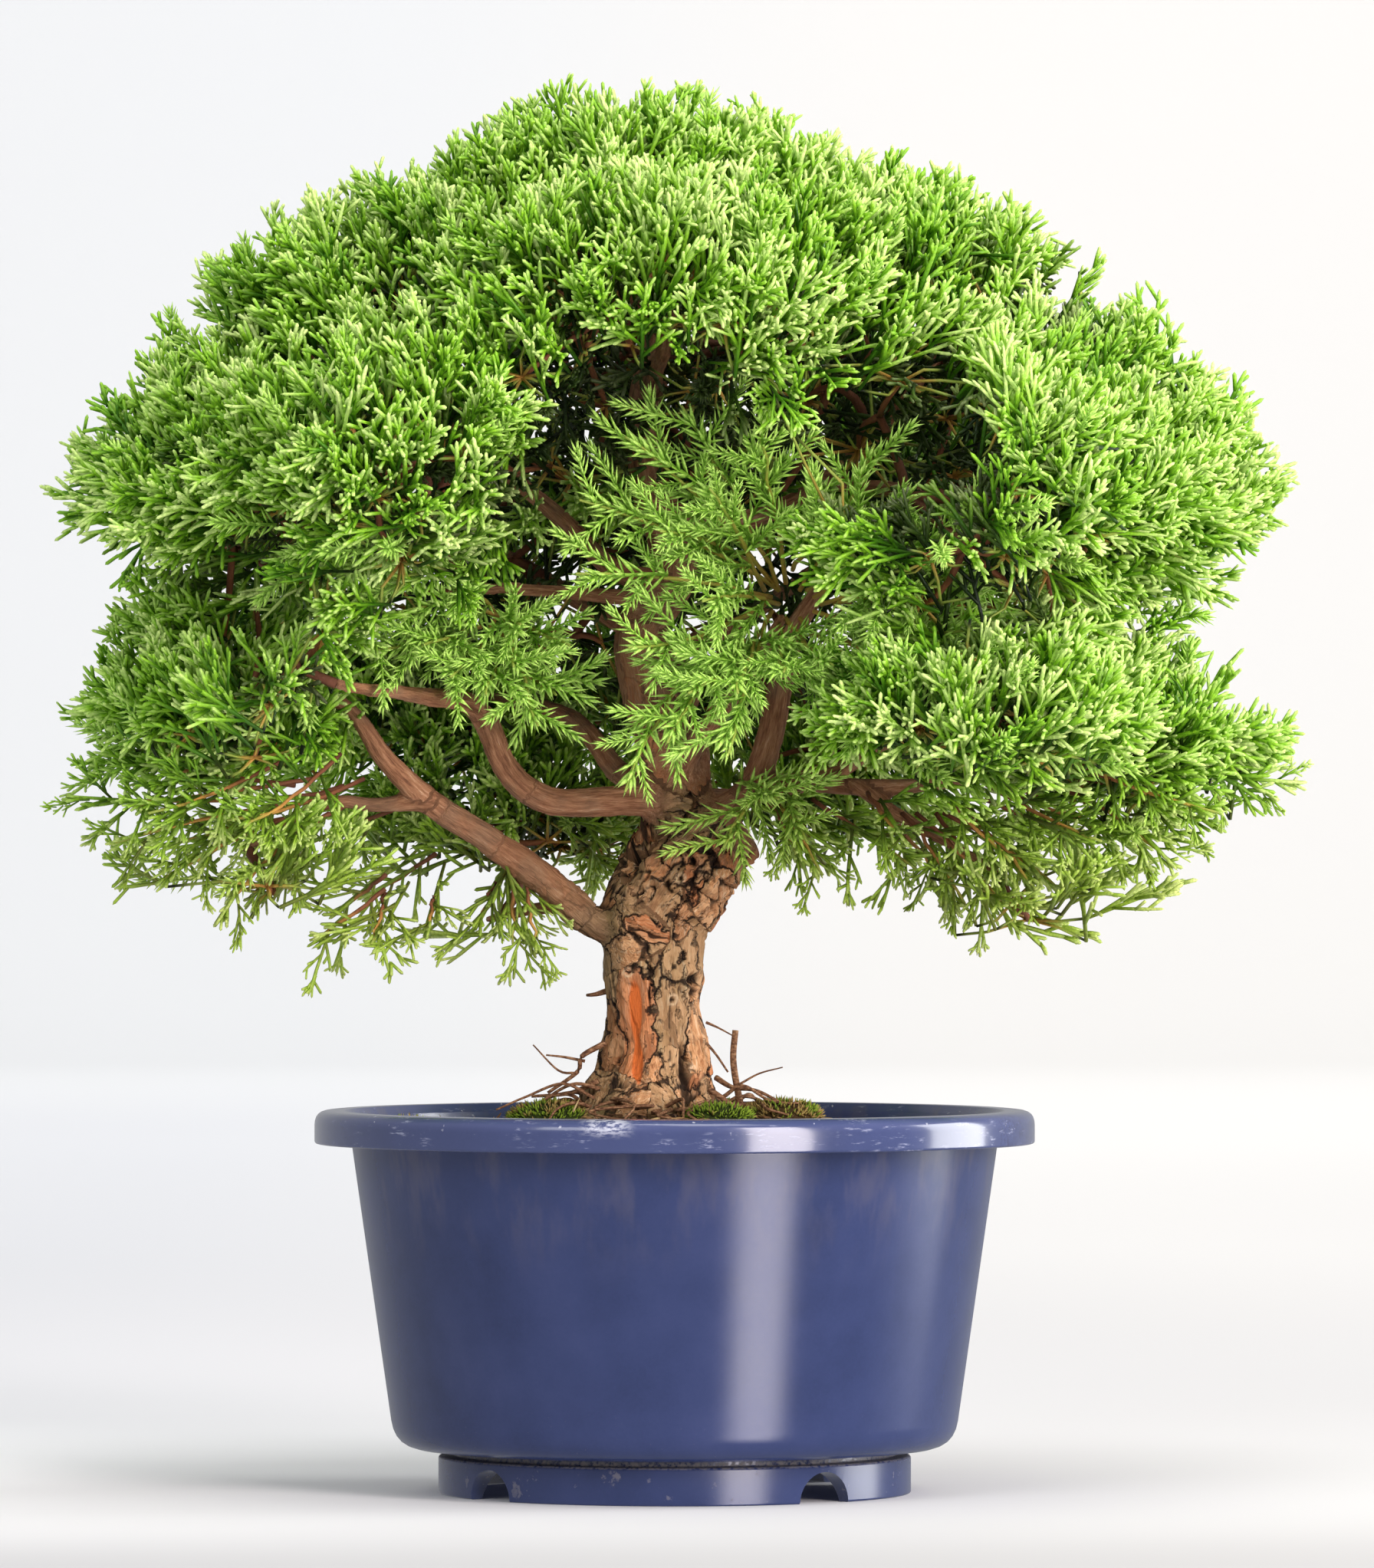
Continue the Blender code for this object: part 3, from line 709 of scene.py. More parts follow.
creases = 1.0 - smooth(0.02, 0.10, np.abs(wobble(points, 0.22, 83)))
carved += old * knobby * (3.0 * wobble(points, 0.15, 19) + 1.9 * wobble(points, 0.38, 29) - 1.8 * creases)
carved += (1 - old) * np.clip(thick / 4.0, 0.2, 1.0) * (0.34 * grain + 0.16 * fine_grain + 0.5 * lumps)
# Dark: the cracks' own colour, plus painted shade where plates step down and in the creases of the knob.
dark = np.maximum(split, 0.75 * check_lines)
dark = np.maximum(dark, 0.42 * np.maximum(broad_edge, 0.7 * small_edge)) * old
dark = np.maximum(dark, old * knobby * creases)

# %% [markdown]
# A few marks are this tree's own, so they are placed one by one: rings of callus round cut branches, holes
# where old stubs rotted out, and a slot behind a plate that has come loose low on the right.

# %% Knots, holes and the loose plate


def spot(x, z, wide, high):
    """How far each point on the front is from a place, in units of the mark's own size."""
    off = ((points[:, 0] - x) / wide) ** 2 + ((points[:, 2] - z) / high) ** 2
    return np.where(spoke[:, 1] < 0.1, np.sqrt(off), 99.0)


pale = np.zeros(len(points))
KNOTS = ((-0.7, 143.8, 0.95), (-12.7, 151.8, 0.8), (-7.0, 151.5, 1.7), (4.4, 149.5, 2.0), (1.8, 179.0, 0.9),
         (-2.4, 177.6, 1.3), (4.6, 146.0, 1.5), (-9.0, 190.0, 1.8), (12.0, 183.0, 2.0))
for x, z, size in KNOTS:
    away = spot(x, z, size, size * 1.1)
    ring = np.exp(-(((away - 1.3) / 0.45) ** 2))
    hole = np.exp(-((away / 0.75) ** 4))
    carved += 0.8 * ring * size / 2 - 1.2 * hole
    # Painted shade darkens each hole.
    dark = np.maximum(dark * (1 - 0.5 * ring), hole)
    pale = np.maximum(pale, ring * (0.8 if size < 1.0 else 0.0))
slot = np.exp(-(spot(3.0, 121.5, 1.7, 9.5) ** 4))
loose = np.exp(-(spot(8.6, 123.0, 3.6, 12.0) ** 4))
carved += 1.5 * loose - 3.2 * slot
# Painted shade darkens the slot behind the loose plate.
dark = np.maximum(dark * (1 - 0.6 * loose), slot)
strips = np.exp(-(spot(-11.3, 140.5, 2.0, 9.5) ** 4)) + np.exp(-(spot(-10.6, 125.0, 1.9, 6.5) ** 4))
carved -= 0.9 * strips
points = points + spoke * carved[:, None]
move_points(wood.data, points)
carry(wood.data, {
    "dark": np.clip(dark, 0, 1),
    "age": old,
    "pale": pale,
    "strip": np.clip(strips, 0, 1),
    "grain_x": unrolled[:, 0],
    "grain_y": unrolled[:, 1],
    "grain_z": along,
})
wood.data.shade_smooth()
print("knots:", len(KNOTS))

# %% [markdown]
# The bark's colour follows what was carved. Cracks are almost black, and painted shade darkens the edges where
# plates step down, the creases of the knob, the knot holes, the slot behind the loose plate and the upper trunk
# under the crown. Most plates are grey-brown with a pale, weathered skin, some are olive with algae, and a few
# low strips are fresh orange. Young limbs are red-brown with thin papery strips. The grain runs along each
# branch, so the pattern reads the unrolled coordinates that the points carry, not plain space.

# %% Bark
bark = Finish("juniper_bark", Specular_IOR_Level=0.25)
unroll = bark.node("CombineXYZ", {}, {
    0: bark.number("grain_x"), 1: bark.number("grain_y"), 2: bark.number("grain_z"),
})
stripe_places = bark.node("Mapping", {}, {"Vector": unroll, "Scale": (1.0, 1.0, 0.12)})
stripes = bark.noise(stripe_places, 0.75, 5.0, 0.65)
hairs = bark.noise(stripe_places, 2.6, 3.0, 0.6)
patches = bark.noise(bark.places(), 0.07, 3.0)
age = bark.number("age")
dark = bark.number("dark")
pale = bark.number("pale")
strip = bark.number("strip")
here = bark.places()
level = bark.axis(here, "Z")
across = bark.axis(here, "X")

warp = bark.node("TexNoise", {}, {"Vector": unroll, "Scale": 0.16, "Detail": 4.0}, output=1)
plate_places = bark.node("VectorMath", {"operation": "MULTIPLY_ADD"}, {0: warp, 1: (9.0, 9.0, 16.0), 2: unroll})
plate_places = bark.node("Mapping", {}, {"Vector": plate_places, "Scale": (1.0, 1.0, 0.3)})
plate_edge = bark.cells(plate_places, 0.105, "DISTANCE_TO_EDGE")
chip_edge = bark.cells(plate_places, 0.30, "DISTANCE_TO_EDGE")
plate_tone = bark.node("TexVoronoi", {}, {"Vector": plate_places, "Scale": 0.105}, output=1)
plate_tone = bark.node("SeparateColor", {}, {0: plate_tone})
chip_tone = bark.node("TexVoronoi", {}, {"Vector": plate_places, "Scale": 0.30}, output=1)
chip_tone = bark.node("SeparateColor", {}, {0: chip_tone})
gaps = (1.0 - plate_edge.between(0.008, 0.055)) * patches.between(0.30, 0.46)
chips = (1.0 - chip_edge.between(0.0, 0.07)) * stripes.between(0.48, 0.62)

weathered = bark.ramp(
    stripes * 0.55 + hairs * 0.45,
    (0.28, 110, 66, 36),
    (0.39, 184, 125, 81),
    (0.51, 226, 168, 118),
    (0.66, 254, 222, 184),
)
young = bark.ramp(
    stripes * 0.7 + hairs * 0.3,
    (0.30, 88, 54, 38),
    (0.45, 146, 98, 70),
    (0.58, 184, 132, 98),
    (0.74, 228, 194, 164),
)
olive = bark.mix(patches.between(0.40, 0.62), paint(156, 132, 96), paint(124, 116, 78))
weathered = bark.mix(plate_tone.between(0.55, 0.75) * 0.55, weathered, olive)
weathered = bark.over(
    weathered,
    ((1.0 - plate_tone.between(0.18, 0.36)) * 0.55, 214, 124, 74),
    (chip_tone.between(0.66, 0.9) * 0.4, 96, 62, 42),
    ((1.0 - chip_tone.between(0.1, 0.3)) * 0.4, 232, 184, 138),
    (strip.between(0.3, 0.7) * 0.9, 226, 112, 46),
    ((0.0 - across).between(13.0, 19.0) * 0.5, 98, 90, 60),
)
crown_shade = level.between(172.0, 190.0) * stripes.between(0.36, 0.58)
weathered = bark.mix(crown_shade * 0.6, weathered, paint(58, 40, 26))
young = bark.mix(patches.between(0.45, 0.65) * 0.35, young, paint(128, 112, 92))
colour = bark.mix(age, young, weathered)
colour = bark.mix(pale, colour, paint(226, 198, 160))
cracked = age * (gaps * 0.95 + chips * 0.7) * (1.0 - strip)
colour = bark.over(
    colour,
    (cracked, 34, 20, 12),
    # the cracks, and painted shade at plate steps, creases, holes and the slot
    (dark.between(0.15, 0.85) * 0.93, 34, 20, 12),
)
damp = 1.0 - level.between(109.0, 117.0)
colour = bark.mix(damp * 0.5 * patches.between(0.35, 0.6), colour, paint(74, 72, 32))
bark_material = bark.wear(
    Base_Color=colour,
    Roughness=0.62 + stripes * 0.25,
    Normal=bark.bump(stripes * 0.6 + hairs * 0.5 + (plate_tone * 0.5 - cracked) * age, 0.85, 1.1),
)

wood.data.materials.clear()
wood.data.materials.append(bark_material)
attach(wood, "root")
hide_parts("trunk_and_branches")

# %% [markdown]
# ## The leaves
# A juniper of this kind has two sorts of leaf. The grown foliage is made of cords: soft-looking strings
# under 2 mm thick, covered in tiny scales, that fork again and again like antlers. Pruned hard, it also
# throws young shoots with sharp needles in threes. One cord and one needle are modelled here, 1 mm thick
# and 1 mm long, so that a copy is sized by its length and thickness. They have few faces, because a tree
# carries tens of thousands of them.

# %% One cord and one needle


def unit_leaf(name, sides, rings):
    """A closed spindle on the Z axis from rings of (z, radius) that ends in a point at z = 1."""
    nothing_selected()
    bpy.ops.mesh.primitive_circle_add(vertices=sides, radius=rings[0][1] * MM, fill_type="NGON")
    leaf = bpy.context.object
    leaf.name = name
    bpy.ops.object.mode_set(mode="EDIT")
    bpy.ops.mesh.select_mode(type="FACE")
    bpy.ops.mesh.select_all(action="SELECT")
    for (low, narrow), (high, wide) in zip(rings, rings[1:]):
        bpy.ops.mesh.extrude_region_move(TRANSFORM_OT_translate={"value": (0, 0, (high - low) * MM)})
        bpy.ops.transform.resize(value=(wide / narrow, wide / narrow, 1.0))
    bpy.ops.mesh.extrude_region_move(TRANSFORM_OT_translate={"value": (0, 0, (1.0 - rings[-1][0]) * MM)})
    bpy.ops.mesh.merge(type="CENTER")
    bpy.ops.mesh.select_all(action="SELECT")
    bpy.ops.mesh.normals_make_consistent(inside=False)
    bpy.ops.object.mode_set(mode="OBJECT")
    shape = read_mesh(leaf)
    bpy.data.objects.remove(leaf)
    return shape


CORD = unit_leaf("cord", 4, ((0.0, 0.8), (0.6, 1.0), (0.93, 0.72)))
FORK = unit_leaf("fork", 4, ((0.0, 0.85), (0.86, 0.95)))
NEEDLE = unit_leaf("needle", 3, ((0.0, 0.55), (0.35, 1.0)))
STEM = unit_leaf("stem", 3, ((0.0, 1.0), (0.6, 0.8)))
for name, shape in (("cord", CORD), ("fork", FORK), ("needle", NEEDLE), ("stem", STEM)):
    print(name, "triangles:", len(shape[1]), "top:", shape[0][:, 2].max())

# %% [markdown]
# A spray is a main cord with side cords that leave it by turns, left and right, leaning forwards, and
# some of them fork once more. The whole spray is nearly flat but never quite. A needle shoot is a thin
# stem with needles in threes, wide open low down and closing up at the tip. A dozen of each, all
# different, are enough that no eye finds a repeat.

# %% Sprays and needle shoots


def turned_to(aims, rolls):
    """Rotations that take +Z to each aim, with a roll about it."""
    aims = unit(np.asarray(aims, dtype=float))
    helper = np.where(np.abs(aims[:, 2:]) < 0.9, (0.0, 0.0, 1.0), (1.0, 0.0, 0.0))
    across = unit(np.cross(helper, aims))
    ahead = np.cross(aims, across)
    cosine, sine = np.cos(rolls)[:, None], np.sin(rolls)[:, None]
    return np.stack((across * cosine + ahead * sine, ahead * cosine - across * sine, aims), axis=2)


def assemble(shape, starts, aims, lengths, radii, bends, rng):
    """Copies of a unit shape, each at its start along its aim. Returns points, triangles and share along."""
    base, faces = shape
    turns = turned_to(aims, rng.uniform(0, math.tau, len(starts)))
    local = base[None] * np.stack((radii, radii, lengths), axis=1)[:, None]
    local[:, :, 0] += bends[:, None] * base[None, :, 2] ** 2
    points = np.einsum("nij,nvj->nvi", turns, local) + starts[:, None]
    triangles = faces[None] + (np.arange(len(starts)) * len(base))[:, None, None]
    share = np.broadcast_to(base[:, 2], (len(starts), len(base)))
    return points.reshape(-1, 3), triangles.reshape(-1, 3), share.ravel()


def spray(rng, length, sides, spread):
    """A spray of cords along +Z: points, triangles and how near each point is to a tip."""
    rows = {"cord": [], "fork": []}

    def grow(kind, start, lean, way, reach, radius, low, tilt=0.0):
        aim = unit(np.array((math.sin(lean) * way, tilt, math.cos(lean))))
        rows[kind].append((*start, *aim, reach, radius, rng.normal(0, 0.05 * reach), low))
        return aim

    grow("cord", (0, 0, 0), 0.0, 1, length, 0.72, 0.0)
    for index in range(sides):
        share = 0.12 + 0.76 * (index + rng.uniform(0, 0.6)) / sides
        way = 1 if index % 2 else -1
        lean = math.radians(spread + rng.uniform(-9, 9)) * (1.1 - 0.35 * share)
        reach = length * (0.54 - 0.32 * share) * rng.uniform(0.8, 1.25)
        start = np.array((0.0, 0.0, length * share))
        aim = grow("cord", start, lean, way, reach, 0.68, 0.2 + 0.25 * share, rng.uniform(-0.5, 0.5))
        for fork in range(2 if reach > 10.0 else 1 if reach > 5.5 else 0):
            point = start + aim * reach * (0.38 + 0.26 * fork + rng.uniform(0, 0.12))
            turn = math.radians(rng.uniform(22, 38)) * (1 if (fork + index) % 2 else -1)
            tilt = rng.uniform(-0.45, 0.45)
            grow("fork", point, lean + turn, way, reach * rng.uniform(0.36, 0.55), 0.62, 0.5, tilt)
    for way in (-1, 1):
        point = (0.0, 0.0, length * rng.uniform(0.80, 0.88))
        grow("fork", point, math.radians(rng.uniform(20, 34)), way, length * rng.uniform(0.13, 0.2), 0.62, 0.6)
    parts, size = [], 0
    for kind, shape in (("cord", CORD), ("fork", FORK)):
        table = np.array(rows[kind], dtype=float)
        made, faces, share = assemble(
            shape, table[:, :3], table[:, 3:6], table[:, 6], table[:, 7], table[:, 8], rng
        )
        low = np.repeat(table[:, 9], len(shape[0]))
        parts.append((made, faces + size, low + (1.0 - low) * share))
        size += len(made)
    return tuple(np.concatenate(column) for column in zip(*parts))


def needle_shoot(rng, length, reach=6.2, pitch=2.1, openness=60):
    """A shoot of needles in threes along +Z."""
    starts, aims, lengths, radii = [], [], [], []
    level, turn = 0.8, 0.0
    while level < length:
        share = level / length
        turn += math.radians(60 + rng.uniform(-14, 14))
        for third in range(3):
            angle = turn + third * math.tau / 3
            lean = math.radians(openness - 0.6 * openness * share**2 + rng.uniform(-8, 8))
            starts.append((0.35 * math.cos(angle), 0.35 * math.sin(angle), level))
            aims.append((math.sin(lean) * math.cos(angle), math.sin(lean) * math.sin(angle), math.cos(lean)))
            lengths.append(reach * rng.uniform(0.82, 1.1) * (1.0 - 0.3 * share**3))
            radii.append(0.3 + 0.04 * reach)
        level += pitch * (1.0 - 0.35 * share)
    points, faces, share = assemble(
        NEEDLE, np.array(starts), np.array(aims), np.array(lengths), np.array(radii),
        np.zeros(len(starts)), rng,
    )
    level = np.repeat(np.array(starts)[:, 2] / length, len(NEEDLE[0]))
    stem, stem_faces = STEM
    stem = stem * (0.75, 0.75, length)
    tip = np.concatenate((0.35 + 0.4 * share + 0.25 * level, np.full(len(stem), 0.4)))
    return np.vstack((points, stem)), np.vstack((faces, stem_faces + len(points))), tip


rng = np.random.default_rng(23)
SPRAYS = [spray(rng, rng.uniform(27, 37), int(rng.integers(6, 9)), rng.uniform(25, 35)) for _ in range(14)]
SLENDER = [spray(rng, rng.uniform(20, 29), int(rng.integers(3, 5)), rng.uniform(22, 32)) for _ in range(8)]
SHOOTS = [needle_shoot(rng, rng.uniform(17, 26)) for _ in range(8)]
LONG_SHOOTS = [needle_shoot(rng, rng.uniform(25, 34), 9.4, 3.7, 44) for _ in range(8)]
for name, kinds in (("sprays", SPRAYS), ("slender", SLENDER), ("shoots", SHOOTS)):
    print(name, len(kinds), "average triangles:", int(np.mean([len(kind[1]) for kind in kinds])))

# %% [markdown]
# ## The crown's envelope
# The frame holds the foliage as two dozen solid masses. Leaves planted on each one by itself would look
# like a heap of balls, while a pruned crown is one rolling surface. So the masses are blended: each gives
# a distance, and a soft minimum of all the distances is the distance to the whole crown. Its slope says
# which way is out.

# %% Masses of foliage and the blended distance
MASSES = {
    "foliage_crown_top": (-8, 0, 253, 70, 64, 47.4),
    "foliage_crown_front": (-4, -90, 232, 64, 50, 42),
    "foliage_crown_back": (-4, 92, 230, 64, 52, 44),
    "foliage_crown_left": (-92, 0, 223, 50, 64, 45),
    "foliage_crown_right": (88, 0, 225, 47, 62, 45),
    "foliage_upper_left": (-136, -4, 176, 44.5, 68, 49),
    "foliage_upper_right": (134, 4, 180, 43, 68, 48),
    "foliage_upper_front_left": (-76, -108, 181, 56, 58, 48),
    "foliage_upper_front_right": (80, -108, 178, 56, 58, 48),
    "foliage_upper_back_left": (-76, 108, 174, 60, 58, 48),
    "foliage_upper_back_right": (78, 108, 174, 58, 58, 48),
    "foliage_upper_back": (0, 125, 168, 46, 43, 44),
    "foliage_mid_left": (-134, -20, 116, 46, 62, 33),
    "foliage_mid_right": (138, -6, 108, 45, 64, 37),
    "foliage_mid_front_left": (-92, -98, 120, 48, 52, 29),
    "foliage_mid_front_right": (88, -94, 114, 54, 56, 35),
    "foliage_mid_back_left": (-86, 96, 114, 60, 54, 35),
    "foliage_mid_back_right": (88, 94, 112, 60, 54, 37),
    "foliage_mid_back": (2, 124, 118, 48, 42, 29),
    "foliage_low_left": (-120, -22, 72, 48, 44, 21),
    "foliage_low_right": (104, -22, 64, 50, 44, 23),
    "foliage_low_snag": (-70, 14, 54, 36, 20, 11),
    "foliage_front_sprigs": (42, -54, 146, 32, 26, 38),
    "foliage_elbow_sprigs": (-52, -40, 118, 18, 16, 22),
}
# Rounded fillings that join the masses into one dome, and hollows that stay open: the dark gaps in
# front, through which the limbs show, and the notches between the tiers.
FILLINGS = (
    (-5, 0, 189, 140, 130, 99, 0.25),
    (-118, -62, 178, 46, 50, 46, 0.7),
    (114, -62, 176, 46, 50, 46, 0.7),
    (-116, 62, 176, 46, 50, 46, 0.7),
    (114, 62, 176, 46, 50, 46, 0.7),
    (-46, 66, 86, 56, 42, 30, 0.8),
    (42, 74, 92, 44, 36, 24, 0.8),
)
HOLLOWS = (
    (-8, -115, 172, 44, 100, 36),
    (60, -125, 188, 30, 82, 15),
    (116, -20, 241, 11, 160, 8),
    (-176, -10, 161, 26, 150, 7),
    (174, 0, 124, 26, 150, 7),
    (-54, -120, 100, 58, 95, 43),
)
NAMES = list(MASSES)
REAL = len(NAMES)
table = np.array([row + (0.78,) for row in MASSES.values()] + list(FILLINGS), dtype=float)
CENTRES = table[:, :3] + (0.0, 0.0, SOIL_TOP)
HALVES = table[:, 3:6]
FLATNESS = table[:, 6]
table = np.array(HOLLOWS, dtype=float)
HOLLOW_CENTRES = table[:, :3] + (0.0, 0.0, SOIL_TOP)
HOLLOW_HALVES = table[:, 3:6]
BLEND = 7.0


def drift(points, pitch, seed):
    """A smooth random vector at each point, of about unit size."""
    return np.column_stack([wobble(points, 1.0 / pitch, seed + 37.0 * axis) for axis in range(3)])


def balls_at(points, centres, halves, flatness):
    """Distances (mm, negative inside) and outward slopes of every ball at each point."""
    offset = points[:, None] - centres[None]
    half = np.broadcast_to(halves[None], offset.shape).copy()
    half[:, :, 2] *= np.where(offset[:, :, 2] > 0, 1.0, flatness)
    reach = np.linalg.norm(offset / half, axis=2)
    slope = offset / half**2
    steep = np.maximum(np.linalg.norm(slope, axis=2), 1e-6)
    return reach * (reach - 1.0) / steep, slope / steep[..., None]


def crown_at(points):
    """Distance to the crown's surface, the way out, the nearest mass, and the distance without hollows."""
    distance, slope = balls_at(points, CENTRES, HALVES, FLATNESS)
    owner = distance[:, :REAL].argmin(1)
    weight = np.exp(-np.clip(distance, -60, 200) / BLEND)
    out = unit((weight[..., None] * slope).sum(1))
    blended = -BLEND * np.log(weight.sum(1))
    hollow, hollow_slope = balls_at(points, HOLLOW_CENTRES, HOLLOW_HALVES, np.ones(len(HOLLOW_CENTRES)))
    hollow = hollow + 9.0 * drift(points, 17.0, 90)[:, :1]
    nearest_hollow = hollow.argmin(1)
    row = np.arange(len(points))
    carved = -hollow[row, nearest_hollow]
    inside_out = -hollow_slope[row, nearest_hollow]
    open_air = carved > blended
    out = np.where(open_air[:, None], unit(inside_out + 0.6 * out), out)
    return np.where(open_air, carved, blended), out, owner, blended


print("masses:", REAL, "fillings:", len(FILLINGS), "hollows:", len(HOLLOWS))

# %% [markdown]
# Now the sprays are planted. Points are strewn evenly through the air round the crown, and the ones whose
# distance to the surface suits a tip are kept: most within a few millimetres of it, some deeper. The
# surface itself rolls a little, so that tufts stand out and dark valleys lie between them, made darker with
# painted shade from each spray's depth. Leaves turn towards the light, so each spray aims outwards and
# somewhat up, and because neighbours grow from one twig, their disorder is mostly shared. Undersides get fewer.

# %% Scatter the sprays
SPRAYS_WANTED = 4300
AIRY = [NAMES.index(name) for name in ("foliage_low_left", "foliage_low_right", "foliage_low_snag")]
# How far below its tip a spray has to be rooted inside the crown, how high and wide the tufts roll, how
# strongly a spray turns up, and how much of its disorder is shared with its neighbours or its own.
FOOT = 27.0
ROLL, ROLL_PITCH = 8.0, 26.0
UPTURN = 0.34
SHARED_DISORDER, OWN_DISORDER = 0.58, 0.15
rng = np.random.default_rng(5)
tips, aims, depths, owners = [], [], [], []
found = 0
while found < SPRAYS_WANTED:
    places = rng.uniform((-192, -178, 150), (194, 180, 418), (30000, 3))
    distance, out, owner, dome = crown_at(places)
    near = (distance > -34) & (distance < 16)
    places, distance, out, owner, dome = (rows[near] for rows in (places, distance, out, owner, dome))
    tufted = distance + ROLL * drift(places, ROLL_PITCH, 4)[:, 0] + 2.0
    chance = np.where(tufted > -4, 1.0, np.where(tufted > -14, 0.32, 0.14))
    chance *= (tufted < 4) & (tufted > -28) & (owner < NAMES.index("foliage_front_sprigs"))
    chance *= 0.25 + 0.75 * smooth(-0.8, 0.0, out[:, 2])
    chance[np.isin(owner, AIRY)] *= 0.25
    keep = rng.random(len(places)) < chance
    places, tufted, out, owner, dome = (rows[keep] for rows in (places, tufted, out, owner, dome))
    under = smooth(0.15, -0.35, out[:, 2:])
    outward = unit(places * (1, 1, 0))
    lifted = out * (1, 1, 0) + out * (0, 0, 1) * (1 - 0.7 * under)
    lifted += (0, 0, UPTURN) * (1 - under) + (outward * 0.8 - (0, 0, 0.1)) * under
    aim = unit(lifted) + SHARED_DISORDER * drift(places, 19.0, 60)
    aim = unit(aim + rng.normal(0, OWN_DISORDER, places.shape))
    rooted = crown_at(places - aim * FOOT)[0] < -6.0
    tips.append(places[rooted])
    aims.append(aim[rooted])
    # How deep each tip sits, which the leaf finish turns into painted shade.
    depths.append(np.maximum(-tufted, -dome - 5.0)[rooted])
    owners.append(owner[rooted])
    found += int(rooted.sum())
# Sprays behind the hollow in front, so that no sky shows through it; their set depth gives them painted shade.
BEHIND = 260
places = rng.uniform((-75, 0, 235), (125, 62, 352), (BEHIND, 3))
tips.append(places)
aims.append(unit(rng.normal(0, 0.55, (BEHIND, 3)) + (0.0, -0.5, 0.25)))
depths.append(np.full(BEHIND, 26.0))
owners.append(crown_at(places)[2])
SPRAYS_WANTED += BEHIND
tips, aims = np.vstack(tips)[-SPRAYS_WANTED:], np.vstack(aims)[-SPRAYS_WANTED:]
depths, owners = np.concatenate(depths)[-SPRAYS_WANTED:], np.concatenate(owners)[-SPRAYS_WANTED:]
planted = {
    name: (tips[owners == index], aims[owners == index], depths[owners == index])
    for index, name in enumerate(NAMES)
}
print("sprays for each mass:", {name: len(rows[0]) for name, rows in planted.items()})

# %% [markdown]
# Nothing floats: every spray sits on a twig. In each mass the spray feet are gathered into small groups,
# a brown twig runs from the nearest limb to the middle of each group, bending as it goes, and a thin
# golden stem runs from there to each spray. From outside they show only in the gaps, but that is exactly
# where a crown without them looks wrong.

# %% Twigs


def bundle(feet, groups, rng):
    """Groups feet around centres. Returns the centres and each foot's group."""
    middle = feet[rng.permutation(len(feet))[:groups]]
    for _ in range(6):
        nearest_middle = np.linalg.norm(feet[:, None] - middle[None], axis=2).argmin(1)
        for group in range(len(middle)):
            mine = feet[nearest_middle == group]
            if len(mine):
                middle[group] = mine.mean(0)
    return middle, nearest_middle


def ring_of(sides):
    angle = np.arange(sides) * math.tau / sides
    return np.stack((np.cos(angle), np.sin(angle), np.zeros(sides)), axis=1)


def tube_faces(rings, sides):
    """Triangles of a closed tube: a band between each two rings, and a cap at each end."""
    faces = []
    for step in range(rings - 1):
        for corner in range(sides):
            a, b = step * sides + corner, step * sides + (corner + 1) % sides
            faces += [(a, b, b + sides), (a, b + sides, a + sides)]
    last = (rings - 1) * sides
    faces += [(0, k + 1, k) for k in range(1, sides - 1)]
    faces += [(last, last + k, last + k + 1) for k in range(1, sides - 1)]
    return np.array(faces)


def ribbons(starts, ends, sag, first_radius, last_radius, steps, sides, rng):
    """Thin bent closed tubes from starts to ends: points, triangles and share along."""
    total = len(starts)
    share = np.linspace(0, 1, steps)
    bow = rng.normal(0, 1, (total, 3)) * sag[:, None]
    path = (
        starts[:, None] * (1 - share)[None, :, None] + ends[:, None] * share[None, :, None]
        + bow[:, None] * (4 * share * (1 - share))[None, :, None]
    )
    aim = unit(ends - starts)
    turns = turned_to(aim, rng.uniform(0, math.tau, total))
    rings = np.einsum("nij,sj->nsi", turns, ring_of(sides))
    radius = first_radius[:, None] * (1 - share) + last_radius[:, None] * share
    points = path[:, :, None] + rings[:, None] * radius[:, :, None, None]
    faces = tube_faces(steps, sides)[None] + (np.arange(total) * steps * sides)[:, None, None]
    along = np.broadcast_to(np.repeat(share, sides), (total, steps * sides))
    return points.reshape(-1, 3), faces.reshape(-1, 3), along.ravel()


def fine_tube(route, sides=6):
    """A closed tube through points (x, y, z, radius), with a ring at each point."""
    way = unit(np.gradient(route[:, :3], axis=0))
    turns = turned_to(way, np.zeros(len(route)))
    made = route[:, None, :3] + np.einsum("nij,sj->nsi", turns, ring_of(sides)) * route[:, None, 3:]
    return made.reshape(-1, 3), tube_faces(len(route), sides)


limb_points = np.vstack(placed)
limb_points = limb_points[limb_points[:, 2] > SOIL_TOP + 45.0]
limb_tree = tree_of(limb_points[:, :3])
# sag for its length, first and last radius, rings, sides, and how woody it is at either end
TWIG = (0.10, 1.7, 1.25, 6, 5, 1.0, 0.9)
TWIGLET = (0.10, 1.2, 0.8, 4, 4, 0.9, 0.65)
STALK = (0.08, 0.55, 0.5, 3, 3, 0.45, 0.0)


